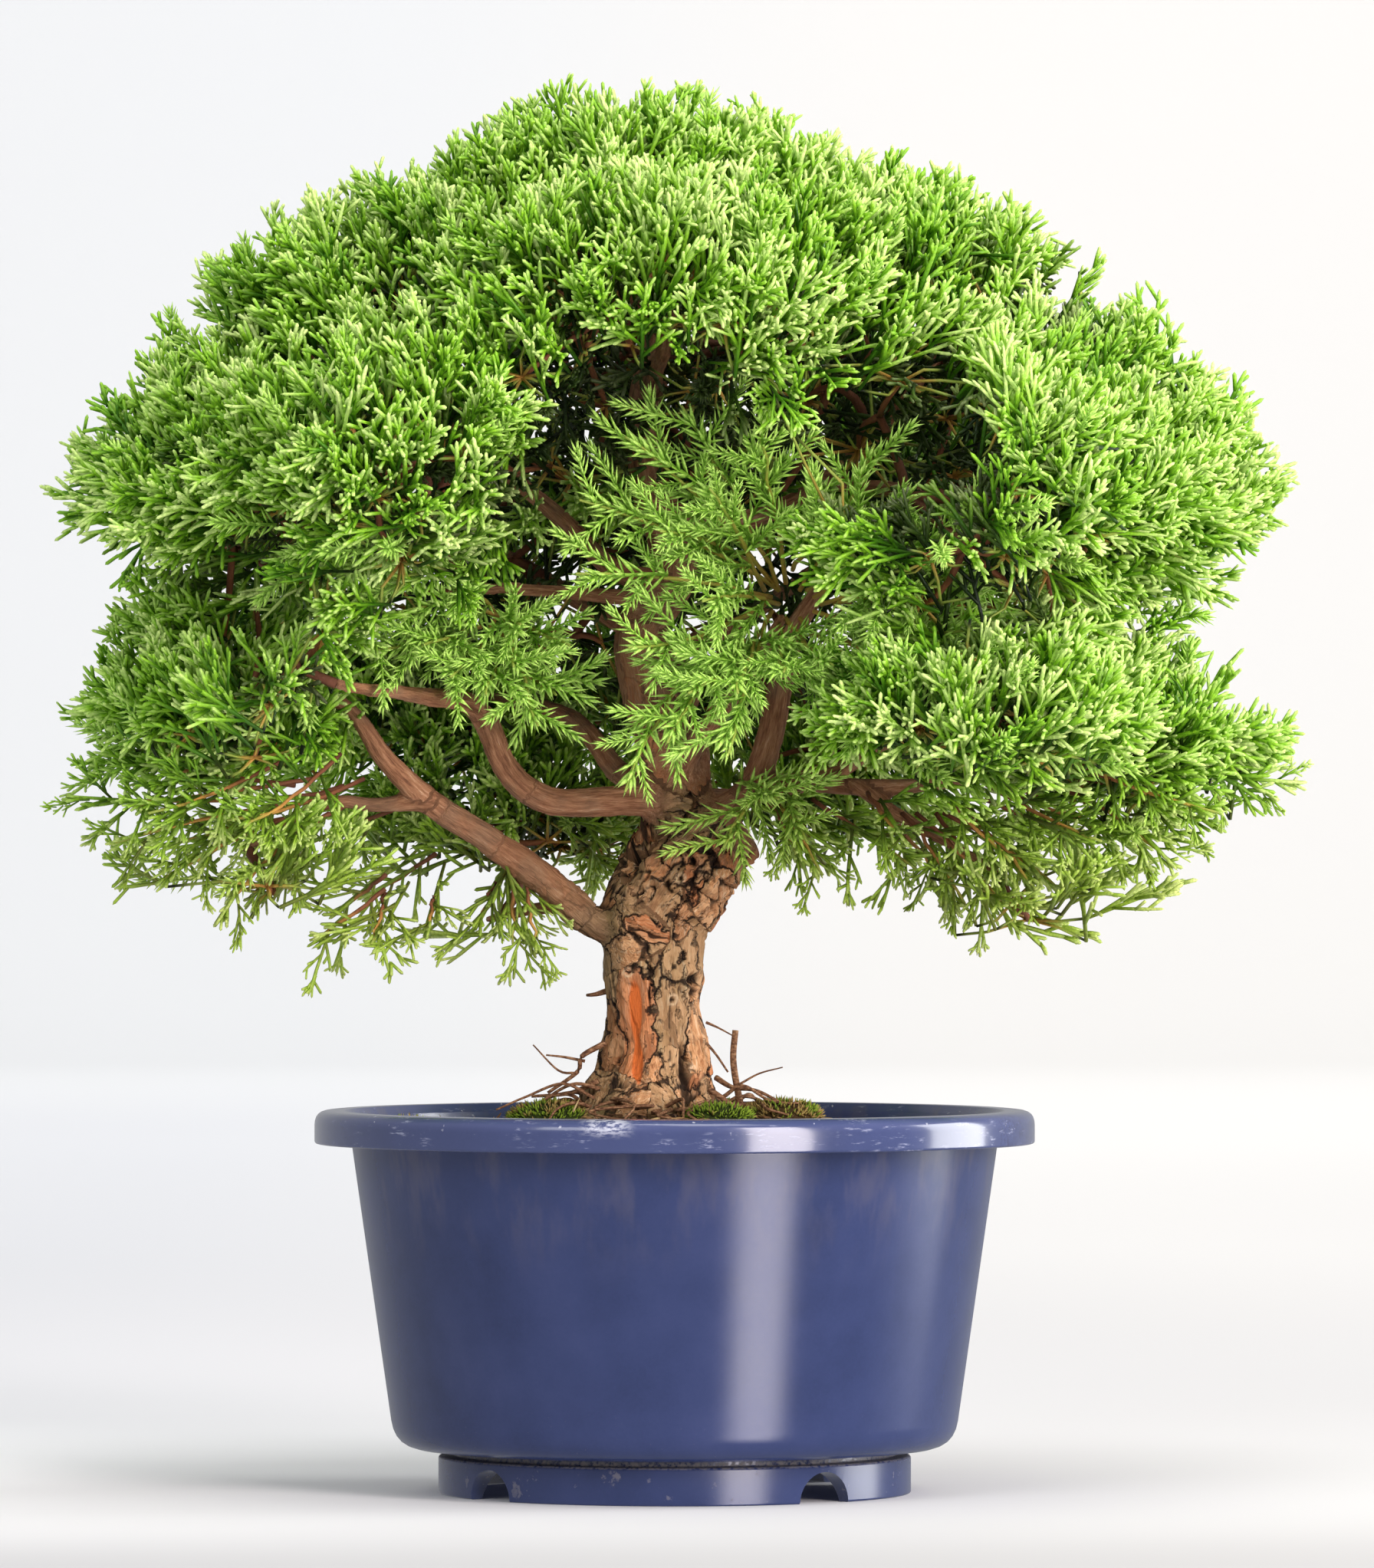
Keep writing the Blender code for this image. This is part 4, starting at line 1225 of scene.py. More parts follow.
def twigs_for(feet, rng):
    """Twigs, twiglets and stalks that reach every foot: mesh parts and their wood share at either end."""
    groups = max(2, len(feet) // 11)
    middle, member = bundle(feet, groups, rng)
    larger, parent = bundle(middle.copy(), max(1, groups // 6), rng)
    roots = np.array([limb_tree.find(place)[0] for place in larger])
    rows = []
    for starts, ends, sort in (
        (roots, larger, TWIG), (larger[parent], middle, TWIGLET), (middle[member], feet, STALK),
    ):
        sag, first_radius, last_radius, rings, sides, low_wood, high_wood = sort
        fill = np.ones(len(ends))
        sag = np.linalg.norm(starts - ends, axis=1) * sag
        made = ribbons(starts, ends, sag, fill * first_radius, fill * last_radius, rings, sides, rng)
        rows.append((made, low_wood, high_wood))
    return rows


print("limb points:", len(limb_points))

# %% [markdown]
# Each mass becomes one piece: its sprays, a share of needle shoots among them, and its twigs, all in one
# mesh. Every point carries how near it is to a tip, how deep it sits in the crown, a tone of its own
# spray, and whether it is wood.

# %% Build the foliage pieces
SHOOT_SHARE = 0.07
SLENDER_SHARE = 0.15
DEEP = 10.0


class Heap:
    """Collects mesh parts and their numbers until they become one piece."""

    def __init__(self):
        self.points, self.faces, self.size = [], [], 0
        self.numbers = {"tip": [], "deep": [], "tone": [], "woody": [], "needle": []}

    def add(self, points, faces, **numbers):
        self.points.append(points)
        self.faces.append(faces + self.size)
        self.size += len(points)
        for key, rows in self.numbers.items():
            rows.append(np.broadcast_to(np.asarray(numbers.get(key, 0.0), dtype=float), len(points)))

    def piece(self, name):
        numbers = {key: np.concatenate(rows) for key, rows in self.numbers.items()}
        return mesh_object(name, np.vstack(self.points), np.vstack(self.faces), numbers)


def plant(heap, kind, feet, aims, sizes, deep, tones, needle, rng):
    """Copies one kind of spray to each foot, each with a bend of its own."""
    if not len(feet):
        return
    base, faces, tip = kind
    turns = turned_to(aims, rng.uniform(0, math.tau, len(feet)))
    local = base[None] * sizes[:, None, None]
    reach = base[:, 2] / base[:, 2].max()
    local[:, :, 0] += rng.normal(0, 2.0, len(feet))[:, None] * reach[None] ** 2
    points = np.einsum("nij,nvj->nvi", turns, local) + feet[:, None]
    every = len(base)
    triangles = faces[None] + (np.arange(len(feet)) * every)[:, None, None]
    heap.add(
        points.reshape(-1, 3), triangles.reshape(-1, 3), tip=np.tile(tip, len(feet)),
        deep=np.repeat(deep, every), tone=np.repeat(tones, every), needle=needle,
    )


def fill_mass(heap, name, rng):
    """Plants a mass's sprays and grows the twigs under them."""
    tips, aims, under = planted[name]
    draw = rng.random(len(tips))
    group = np.where(draw < SHOOT_SHARE, 2, np.where((under > DEEP) | (draw > 1 - SLENDER_SHARE), 1, 0))
    sizes = rng.uniform(0.82, 1.12, len(tips))
    tones = np.clip(rng.normal(0.5, 0.24, len(tips)) + 0.25 * drift(tips, 30.0, 7)[:, 0], 0, 1)
    pick = rng.integers(0, 1000, len(tips))
    feet = np.zeros_like(tips)
    for code, kinds in ((0, SPRAYS), (1, SLENDER), (2, SHOOTS)):
        for index, kind in enumerate(kinds):
            mine = (group == code) & (pick % len(kinds) == index)
            feet[mine] = tips[mine] - aims[mine] * (kind[0][:, 2].max() * sizes[mine])[:, None]
            plant(heap, kind, feet[mine], aims[mine], sizes[mine], under[mine], tones[mine], code == 2, rng)
    for (points, faces, share), start, end in twigs_for(feet, rng):
        # Twigs count as deep in the crown, so their green ends get painted shade.
        heap.add(points, faces, woody=start + (end - start) * share, tone=0.5, deep=20.0)


rng = np.random.default_rng(77)
heaps = {name: Heap() for name in NAMES}
for name in NAMES:
    if len(planted[name][0]):
        fill_mass(heaps[name], name, rng)
print("planted points:", sum(heap.size for heap in heaps.values()))

# %% [markdown]
# In front of the trunk hang a number of vigorous young branches in needle, the ones a grower would pinch
# back next. They are what the eye meets first, so each is placed one by one: where it starts, where its tip
# ends, and how far it hangs. Along the bottom of the crown, grown cords hang from thin drooping branches
# that are placed the same way. Each has a stem, a shoot at its end and side shoots by turns.

# %% The young branches in front

# start x, y, z and end x, y, z, mm from the pot's axis and the ground; then how far the middle sags
NEEDLE_BRANCHES = (
    (30, -48, 262, -14, -84, 305, -4), (30, -48, 262, -27, -86, 287, -3), (28, -50, 260, -28, -88, 266, -2),
    (26, -50, 258, -13, -92, 245, 3), (14, -46, 250, -14, -90, 204, -6), (28, -50, 256, 15, -94, 214, -3),
    (30, -48, 262, 2, -80, 314, -3), (32, -48, 264, 24, -84, 308, -2), (36, -48, 262, 57, -82, 303, 2),
    (38, -48, 262, 68, -88, 288, 0), (40, -48, 260, 84, -90, 277, -2), (42, -48, 258, 94, -84, 266, -2),
    (40, -48, 256, 84, -94, 250, 3), (36, -50, 254, 63, -98, 240, 4), (32, -50, 254, 45, -98, 240, 2),
    (30, -50, 252, 31, -98, 238, 1), (34, -46, 268, 44, -92, 282, 0), (28, -46, 246, 4, -96, 232, 0),
    (50, -50, 262, 74, -104, 262, 0), (22, -44, 270, -4, -92, 278, -2), (30, -50, 258, 8, -100, 258, -2),
    (26, -50, 262, 10, -96, 290, -2), (46, -50, 258, 62, -106, 256, -2), (24, -48, 250, 18, -100, 232, -2),
    (20, -46, 248, -2, -92, 218, -3), (36, -46, 250, 56, -96, 226, 2), (44, -48, 250, 76, -98, 238, 2),
    (26, -14, 205, 14, -40, 188, -2), (30, -14, 200, 38, -42, 190, -2), (24, -14, 208, 30, -44, 202, 0),
    (-51, -26, 255, -80, -58, 255, -3), (-52, -28, 254, -64, -66, 237, 2), (-50, -26, 250, -39, -60, 223, -3),
    (-48, -26, 254, -30, -62, 246, 0), (-52, -26, 256, -62, -68, 262, -2), (-50, -26, 250, -54, -60, 232, 0),
    (-50, -26, 254, -44, -70, 252, 0), (-60, -30, 250, -88, -64, 244, 0), (-46, -24, 240, -34, -50, 232, 0),
    (-56, -28, 252, -72, -66, 246, 0), (-48, -26, 252, -46, -66, 240, 0),
)
# The lowest branches droop and are thin enough to see through; these carry grown cords.
CORD_BRANCHES = (
    (-98, -20, 204, -176, -28, 203, 2), (-98, -22, 202, -163, -40, 189, -2), (-100, -20, 200, -150, -30, 177, -3),
    (-100, -20, 198, -133, -26, 166, -4), (-96, -18, 200, -118, -34, 178, -3), (-110, -20, 206, -170, -10, 214, 0),
    (-100, 10, 200, -160, 20, 186, 0), (-104, -30, 208, -156, -56, 200, 0), (-90, -24, 208, -128, -60, 196, 2),
    (-84, -14, 176, -106, -16, 161, 1), (-84, -12, 175, -88, -20, 160, 0), (-70, -8, 174, -72, -14, 164, 0),
    (-84, -10, 180, -100, 10, 168, 0), (-70, 10, 186, -92, 34, 172, 0), (-52, -6, 178, -58, -10, 164, 0),
    (-110, -40, 215, -150, -72, 198, 2), (-96, -50, 215, -122, -92, 194, 2), (-80, 20, 200, -120, 50, 184, 0),
    (-44, -8, 180, -40, -12, 157, -1), (-46, -8, 180, -47, -10, 160, -1), (-96, -10, 206, -140, -16, 190, 0),
    (70, -16, 198, 100, -30, 163, -3), (78, -18, 198, 112, -34, 175, -2), (66, -14, 198, 85, -24, 170, -2),
    (110, -20, 206, 145, -34, 182, -3), (96, -20, 204, 126, -30, 192, 0), (90, -16, 202, 116, -14, 187, -1),
    (120, -20, 214, 182, -26, 207, 1), (26, -12, 202, 43, -22, 180, -3), (40, -12, 202, 70, -24, 182, 0),
    (30, -12, 200, 35, -24, 186, 0), (60, 0, 202, 80, 20, 176, 0), (80, 10, 202, 104, 30, 178, 0),
    (100, 20, 206, 140, 40, 186, 0), (110, -40, 214, 156, -70, 198, 1), (74, -40, 206, 96, -66, 184, 0),
    (84, -20, 200, 104, -40, 176, -1), (76, -10, 198, 92, -16, 172, -1), (120, 0, 208, 160, 10, 194, 0),
    (90, -40, 206, 122, -70, 190, 1), (56, -20, 204, 66, -44, 190, 0),
)


def young_branch(heap, row, rng, kinds, step, low_size, high_size, tone, deep, is_needle, bark_share):
    """A bent stem with a shoot at its end and side shoots by turns."""
    start, end, sag = np.array(row[:3], dtype=float), np.array(row[3:6], dtype=float), row[6]
    length = np.linalg.norm(end - start)
    share = np.linspace(0, 1, 9)[:, None]
    path = start + (end - start) * share - np.array((0, 0, 1.0)) * (4 * share * (1 - share)) * sag
    path[1:-1, :2] += rng.normal(0, 0.5, (7, 2))
    way = unit(np.gradient(path, axis=0))
    thickness = np.linspace(0.75, 0.4, 9)[:, None]
    stem, faces = fine_tube(np.hstack((path, thickness)), 5)
    heap.add(stem, faces, woody=np.repeat(np.linspace(bark_share, 0.15, 9), 5), tone=0.5, deep=deep)
    reach = [kind[0][:, 2].max() for kind in kinds]
    pick = rng.integers(0, len(kinds), 40)
    feet, aims, sizes = [path[-1] - way[-1] * reach[pick[0]] * 0.95], [way[-1]], [1.0]
    for index, place in enumerate(np.arange(0.2, 0.92, step / length)):
        at = min(int(place * 8), 7)
        sideways = unit(np.cross(way[at], (0.0, -1.0, 0.15))) * (1 if index % 2 else -1)
        lean = math.radians(rng.uniform(32, 50))
        aims.append(unit(way[at] * math.cos(lean) + sideways * math.sin(lean) + rng.normal(0, 0.2, 3)))
        feet.append(path[at] + (path[at + 1] - path[at]) * (place * 8 - at))
        sizes.append(rng.uniform(low_size, high_size) * (1.0 - 0.25 * place))
    for index, foot in enumerate(feet):
        one = slice(index, index + 1)
        shade = np.clip(rng.normal(tone, 0.22, 1), 0, 1)
        plant(
            heap, kinds[pick[index]], np.array(feet[one]), np.array(aims[one]), np.array(sizes[one]),
            np.full(1, deep), shade, is_needle, rng,
        )


rng = np.random.default_rng(41)
# The deep argument paints shade: none on the needle branches in front, a little on the low cord branches.
for row in NEEDLE_BRANCHES:
    piece_name = "foliage_front_sprigs" if row[0] > -20 else "foliage_elbow_sprigs"
    young_branch(heaps[piece_name], row, rng, LONG_SHOOTS, 7.5, 0.6, 0.95, 0.85, 0.0, 1.0, 0.34)
for row in CORD_BRANCHES:
    piece_name = "foliage_low_right" if row[0] > 0 else "foliage_low_left" if row[0] < -88 else "foliage_low_snag"
    young_branch(heaps[piece_name], row, rng, SLENDER, 7.0, 0.65, 1.0, 0.5, 4.0, 0.0, 0.95)
foliage = {name: heap.piece(name.replace("foliage_", "leaves_")) for name, heap in heaps.items()}
sizes_of = {name: count(piece) for name, piece in foliage.items()}
print("foliage triangles:", sum(sizes_of.values()), "largest:", max(sizes_of.values()))

# %% [markdown]
# Fresh tips are a bright yellow-green and the cords behind them a clear mid green; the darkening towards the
# foot of each spray is partly painted shade, and whatever sits deep in the crown is made dark with painted
# shade. Needles are a shade cooler. Each spray has its own tone, as some grew this spring and some last year.
# Tiny overlapping scales make the cords look beaded, which is a fine bump.

# %% Leaf finish
leaf = Finish("juniper_leaves", Specular_IOR_Level=0.38)
tip = leaf.number("tip")
deep = leaf.number("deep")
tone = leaf.number("tone")
woody = leaf.number("woody")
needle = leaf.number("needle")
scales = leaf.cells(leaf.places(), 1.0)
mottle = leaf.noise(leaf.places(), 0.5, 2.0)
# Bright at the tips for fresh growth, and dark towards each spray's foot, partly as painted shade.
green = leaf.ramp(
    tip * 0.72 + tone * 0.50 - 0.14,
    (0.05, 6, 26, 0),
    (0.35, 72, 130, 2),
    (0.62, 152, 208, 44),
    (0.92, 230, 254, 156),
)
green = leaf.mix(needle * tip.between(0.10, 0.7) * 0.85, green, paint(208, 253, 118))
low = 1.0 - leaf.axis(leaf.places(), "Z").between(165.0, 225.0)
green = leaf.over(
    green,
    (low * 0.45, 188, 186, 86),
    (scales.between(0.25, 0.75) * 0.3, 64, 116, 28),
    # painted shade: the deeper a spray sits in the crown, the darker it is
    (deep.between(1.0, 17.0) * 0.9, 9, 20, 3),
)
stem_colour = leaf.ramp(
    woody * 0.85 + mottle * 0.2,
    (0.25, 150, 168, 70),
    (0.45, 204, 150, 72),
    (0.70, 140, 84, 54),
    (0.95, 104, 62, 44),
)
green = leaf.mix(woody.between(0.02, 0.12), green, stem_colour)
leaf_material = leaf.wear(
    Base_Color=green,
    Roughness=0.40 + scales * 0.18 + woody * 0.3,
    Normal=leaf.bump(1.0 - scales, 0.45, 0.35),
)
for name, piece in foliage.items():
    piece.data.materials.append(leaf_material)
    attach(piece, "root")
    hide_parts(name)

# %% [markdown]
# ## Dead roots and twiglets at the foot
# Round the foot of the trunk a few fine roots were laid bare when the soil was scraped back to show the
# flare. They dried into wiry, forking ends. They are too thin for the voxels of the main wood, so they
# are a piece of their own, of thin bent tubes along listed routes, and some more strewn about.

# %% Bare roots
# runs of x, z in mm from the pot's axis and the ground, then y and the thickness of the first and last
ROOT_ENDS = (
    (((-20, 131), (-26.5, 127.5), (-28, 123), (-36.5, 117)), -8, 1.2, 0.7),
    (((-26, 126), (-32, 127.5), (-37, 128.2)), -9, 0.7, 0.35),
    (((-29, 122.5), (-34, 123.5), (-41, 131)), -9, 0.6, 0.3),
    (((-22, 121), (-31, 117), (-42, 115.5)), -11, 1.1, 0.6),
    (((-22, 118), (-30, 119), (-40, 113)), -14, 0.9, 0.5),
    (((-19, 147), (-23, 145.6), (-25.5, 145.2)), -3, 1.3, 0.6),
    (((17.5, 134.5), (17.2, 126), (18.6, 117), (20, 110)), -8, 1.3, 1.5),
    (((18.5, 119), (24.5, 122.5), (31, 124.5)), -9, 0.5, 0.25),
    (((9, 137), (12.5, 135.4), (17, 133)), -7, 0.6, 0.25),
    (((9, 132), (12, 128.6), (15.6, 123.5)), -9, 0.6, 0.4),
    (((12, 121), (17, 118), (24, 117), (33, 112)), -12, 1.1, 0.5),
    (((14, 116), (20, 119.5), (28, 115), (36, 114)), -15, 0.8, 0.4),
    (((10, 118), (16, 114), (22, 109)), -17, 1.2, 0.8),
    (((-24, 115), (-33, 119.5), (-44, 116), (-52, 112)), -16, 0.7, 0.4),
)


rng = np.random.default_rng(9)
root_heap = Heap()
for run, y, first_thick, last_thick in ROOT_ENDS:
    thickness = np.linspace(first_thick, last_thick, len(run))
    rough = [(x, y + rng.uniform(-2, 2), z, t * 0.8) for (x, z), t in zip(run, thickness)]
    root_heap.add(*fine_tube(through(rough, 1.4, 1.4, int(rng.integers(100)))))
for index in range(34):
    turn = rng.uniform(0, math.tau)
    foot = 19.0 + rng.uniform(-2, 4)
    reach = rng.uniform(8, 26)
    rise = rng.uniform(-1, 5)
    rough = [
        (
            -6 + math.cos(turn + bend) * (foot + reach * share), math.sin(turn + bend) * (foot + reach * share),
            SOIL_TOP + 1.5 + rise * math.sin(math.pi * share) - 3.5 * share**2, 0.75 - 0.45 * share,
        )
        for share, bend in ((0, 0), (0.35, rng.uniform(-0.2, 0.2)), (0.7, rng.uniform(-0.4, 0.4)), (1, 0.1))
    ]
    root_heap.add(*fine_tube(through(rough, 1.8, 1.2, int(rng.integers(100))), 5))
bare_roots = root_heap.piece("bare_roots")
root_finish = Finish("dry_roots", Specular_IOR_Level=0.25)
streak = root_finish.noise(root_finish.places((1.0, 1.0, 2.0)), 0.8, 3.0)
bare_roots.data.materials.append(root_finish.wear(
    Base_Color=root_finish.ramp(
        streak, (0.3, 72, 46, 32), (0.5, 124, 86, 60), (0.7, 172, 134, 100),
    ),
    Roughness=0.7 + streak * 0.2,
    Normal=root_finish.bump(streak, 0.6, 0.4),
))
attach(bare_roots, "root")
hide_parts("trunk_and_branches")
print("bare root triangles:", count(bare_roots))

# %% [markdown]
# ## Soil
# Bonsai soil is a mix of hard grains, from dust to pea size, brown, with some pale and some rusty ones.
# The body of it is spun like the pot and its top roughened, and on top lie a few thousand separate
# grains: one angular pebble of twenty faces, copied at many sizes and turns.

# %% Soil and its grains
SOIL_EDGE = 104.6
SOIL_RADIUS = 91.1


def ground(x, y):
    """Height of the soil's top in mm."""
    share = np.minimum(1.0, np.hypot(x, y) / BODY_TOP)
    return SOIL_EDGE + 6.0 * (0.5 + 0.5 * np.cos(math.pi * share))


soil_outline = [(r, float(ground(r, 0.0))) for r in np.arange(0.0, SOIL_RADIUS, 1.5)]
soil_outline += [(SOIL_RADIUS, SOIL_EDGE - 0.4), (SOIL_RADIUS, 101.0), (78.4, 34.0), (62.0, 16.5), (0.0, 16.5)]
soil = spun("bonsai_soil", soil_outline, 150)
made, _ = read_mesh(soil)
top = (made[:, 2] > 103.0) & (np.hypot(made[:, 0], made[:, 1]) < SOIL_RADIUS - 1.0)
made[top, 2] += 0.9 * wobble(made[top], 0.16, 2) + 0.7 * wobble(made[top], 0.45, 6) - 0.3
move_points(soil.data, made)
soil.data.shade_smooth()

nothing_selected()
bpy.ops.mesh.primitive_ico_sphere_add(subdivisions=1, radius=1.0 * MM)
pebble = bpy.context.object
bpy.ops.object.mode_set(mode="EDIT")
bpy.ops.mesh.select_all(action="SELECT")
bpy.ops.transform.resize(value=(1.0, 0.8, 0.68))
bpy.ops.object.mode_set(mode="OBJECT")
PEBBLE = read_mesh(pebble)
bpy.data.objects.remove(pebble)

rng = np.random.default_rng(31)
GRAINS = 3000
spread = SOIL_RADIUS * np.sqrt(rng.random(GRAINS)) * 0.985
turn = rng.uniform(0, math.tau, GRAINS)
grain_x, grain_y = spread * np.cos(turn), spread * np.sin(turn)
size = 0.6 + 1.3 * rng.random(GRAINS) ** 2.2
seat = np.column_stack((grain_x, grain_y, ground(grain_x, grain_y) + size * 0.1 - 0.2))
grain_heap = Heap()
made, faces, _ = assemble(PEBBLE, seat, rng.normal(size=(GRAINS, 3)), size, size, np.zeros(GRAINS), rng)
grain_heap.add(made, faces, tone=np.repeat(rng.random(GRAINS), len(PEBBLE[0])))
grains = grain_heap.piece("soil_grains")
only(grains)
bpy.ops.object.shade_flat()
grit = Finish("bonsai_grit", Specular_IOR_Level=0.2)
tone = grit.number("tone")
dirt = grit.noise(grit.places(), 0.9, 4.0, 0.65)
grain_colour = grit.ramp(
    tone, (0.0, 44, 32, 24), (0.35, 78, 56, 40), (0.62, 112, 80, 54),
    (0.84, 140, 112, 84), (0.97, 188, 172, 150),
)
grain_colour = grit.mix(dirt.between(0.4, 0.65) * 0.6, grain_colour, paint(46, 33, 24))
grit_material = grit.wear(
    Base_Color=grain_colour, Roughness=0.85 + dirt * 0.1, Normal=grit.bump(dirt, 0.8, 0.4),
)
grains.data.materials.append(grit_material)
loam = Finish("bonsai_loam", Specular_IOR_Level=0.2)
crumbs = loam.noise(loam.places(), 0.55, 5.0, 0.7)
patch = loam.noise(loam.places(), 0.05, 3.0)
loam_colour = loam.ramp(
    crumbs, (0.32, 26, 18, 13), (0.48, 56, 40, 28), (0.62, 92, 68, 46),
    (0.76, 130, 100, 70),
)
loam_colour = loam.mix(patch.between(0.5, 0.66) * 0.45, loam_colour, paint(66, 76, 26))
soil.data.materials.append(loam.wear(
    Base_Color=loam_colour, Roughness=0.85 + crumbs * 0.1, Normal=loam.bump(crumbs, 1.0, 1.2),
))
for piece in (soil, grains):
    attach(piece, "root")
    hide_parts("soil")
print("soil triangles:", count(soil), "grains:", count(grains))

# %% [markdown]
# ## Moss and litter
# The moss lies in low cushions, green where it is damp and straw-coloured where it dried. A cushion is a
# flattened ball with hundreds of tiny pointed shoots, made from the same needle shape as the leaves. Dry
# needles and bits of twig that fell from the tree lie between them.

# %% Moss cushions
# name, x, y, length, width, height, and how dry
MOSS = (
    ("moss_left", -36.0, -12.0, 27.0, 22.0, 10.0, 0.35),
    ("moss_front", 13.0, -27.0, 20.0, 14.0, 8.0, 0.1),
    ("moss_right", 31.0, -9.0, 25.0, 20.0, 10.0, 0.6),
    ("moss_far_left", -78.0, -14.0, 19.0, 15.0, 8.0, 0.5),
    ("moss_back", 6.0, 34.0, 34.0, 20.0, 9.0, 0.3),
)
moss = Finish("cushion_moss", Specular_IOR_Level=0.25)
tip = moss.number("tip")
tone = moss.number("tone")
fuzz = moss.noise(moss.places(), 0.8, 4.0, 0.65)
moss_green = moss.ramp(
    tip * 0.6 + fuzz * 0.4, (0.15, 34, 40, 12), (0.45, 84, 106, 26), (0.75, 142, 168, 48),
)
moss_straw = moss.ramp(
    tip * 0.6 + fuzz * 0.4, (0.15, 58, 40, 22), (0.45, 124, 98, 52), (0.75, 180, 156, 92),
)
moss_material = moss.wear(
    Base_Color=moss.mix(tone.between(0.35, 0.65), moss_green, moss_straw),
    Roughness=0.8 + fuzz * 0.15,
    Normal=moss.bump(fuzz, 0.8, 0.5),
)
nothing_selected()
bpy.ops.mesh.primitive_uv_sphere_add(segments=40, ring_count=20, radius=1.0 * MM)
ball = bpy.context.object
BALL, BALL_FACES = read_mesh(ball)
bpy.data.objects.remove(ball)
rng = np.random.default_rng(15)
for name, x, y, length, width, high, dry in MOSS:
    rest = float(ground(x, y)) + high * 0.05
    half = np.array((length / 2, width / 2, high / 2))
    made = BALL * half * 0.9 + (x, y, rest)
    made[:, 2] += 0.8 * wobble(made, 0.25, 4)
    heap = Heap()
    heap.add(made, BALL_FACES, tip=0.0, tone=dry)
    shoots = int(length * width * 1.5)
    ways = unit(rng.normal(size=(shoots, 3)) * (1, 1, 0.7) + (0, 0, 0.35))
    ways = ways[ways[:, 2] > -0.1]
    feet = ways * half * 0.86 + (x, y, rest)
    aims = unit(ways + (0, 0, 0.5) + rng.normal(0, 0.3, ways.shape))
    lengths = rng.uniform(1.4, 2.8, len(feet))
    made, faces, share = assemble(
        NEEDLE, feet, aims, lengths, lengths * 0.16, rng.normal(0, 0.3, len(feet)), rng
    )
    patchy = np.clip(dry + 0.9 * wobble(feet, 0.2, 8) + rng.normal(0, 0.12, len(feet)), 0, 1)
    heap.add(made, faces, tip=share, tone=np.repeat(patchy, len(NEEDLE[0])))
    cushion = heap.piece(name + "_cushion")
    cushion.data.materials.append(moss_material)
    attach(cushion, "root")
    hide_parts(name)
    print(name, count(cushion))

# %% Litter
rng = np.random.default_rng(19)
BITS = 420
spread = 18.0 + (SOIL_RADIUS - 22.0) * rng.random(BITS) ** 0.8
turn = rng.uniform(0, math.tau, BITS)
bit_x, bit_y = -3 + spread * np.cos(turn), spread * np.sin(turn)
keep = np.hypot(bit_x, bit_y) < SOIL_RADIUS - 5.0
bit_x, bit_y = bit_x[keep], bit_y[keep]
lengths = rng.uniform(2.5, 9.0, len(bit_x))
aims = rng.normal(size=(len(bit_x), 3)) * (1, 1, 0.16)
feet = np.column_stack((bit_x, bit_y, ground(bit_x, bit_y) + 0.9)) - unit(aims) * lengths[:, None] / 2
feet[:, 2] = np.maximum(feet[:, 2], ground(bit_x, bit_y) + 0.2)
heap = Heap()
made, faces, share = assemble(
    NEEDLE, feet, aims, lengths, rng.uniform(0.25, 0.55, len(feet)), rng.normal(0, 0.6, len(feet)), rng
)
heap.add(made, faces, tone=np.repeat(rng.random(len(feet)), len(NEEDLE[0])))
litter = heap.piece("dry_litter")
straw = Finish("dry_litter", Specular_IOR_Level=0.3)
tone = straw.number("tone")
fleck = straw.noise(straw.places(), 0.7, 3.0)
litter.data.materials.append(straw.wear(
    Base_Color=straw.ramp(
        tone * 0.8 + fleck * 0.2, (0.1, 66, 42, 26), (0.45, 128, 92, 56),
        (0.75, 182, 148, 96), (0.95, 206, 188, 140),
    ),
    Roughness=0.7 + fleck * 0.2,
))
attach(litter, "root")
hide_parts("soil")
print("litter triangles:", count(litter))

# %% [markdown]
# ## Floor, camera and light
# A seamless pale sweep, a long lens a few metres away at the height of the crown's foot, a tall softbox
# to the right that draws the soft bar on the pot, a broad one from the upper left, and bright
# surroundings that fill the shadows.

# %% Floor and backdrop
nothing_selected()
bpy.ops.mesh.primitive_plane_add(size=1.0, location=(0, 1.0, 0))
floor = bpy.context.object
floor.name = "studio_floor"
floor.scale = (12.0, 9.0, 1.0)
bpy.ops.object.transform_apply(location=True, rotation=True, scale=True)
edit(floor, "EDGE")
bpy.ops.object.mode_set(mode="OBJECT")
for rim_edge in floor.data.edges:
    ends = [floor.data.vertices[corner].co.y for corner in rim_edge.vertices]
    rim_edge.select = min(ends) > 5.0
bpy.ops.object.mode_set(mode="EDIT")
bpy.ops.mesh.select_mode(type="EDGE")
BENDS, BEND_LENGTH = 12, 0.2
for step in range(BENDS):
    tilt = math.radians(90.0 * (step + 0.5) / BENDS)
    way = (0, math.cos(tilt) * BEND_LENGTH, math.sin(tilt) * BEND_LENGTH)
    bpy.ops.mesh.extrude_region_move(TRANSFORM_OT_translate={"value": way})
bpy.ops.mesh.extrude_region_move(TRANSFORM_OT_translate={"value": (0, 0, 5.0)})
bpy.ops.object.mode_set(mode="OBJECT")
floor.data.shade_smooth()
paper = Finish("studio_paper", Roughness=0.8, Specular_IOR_Level=0.2)
here = paper.places()
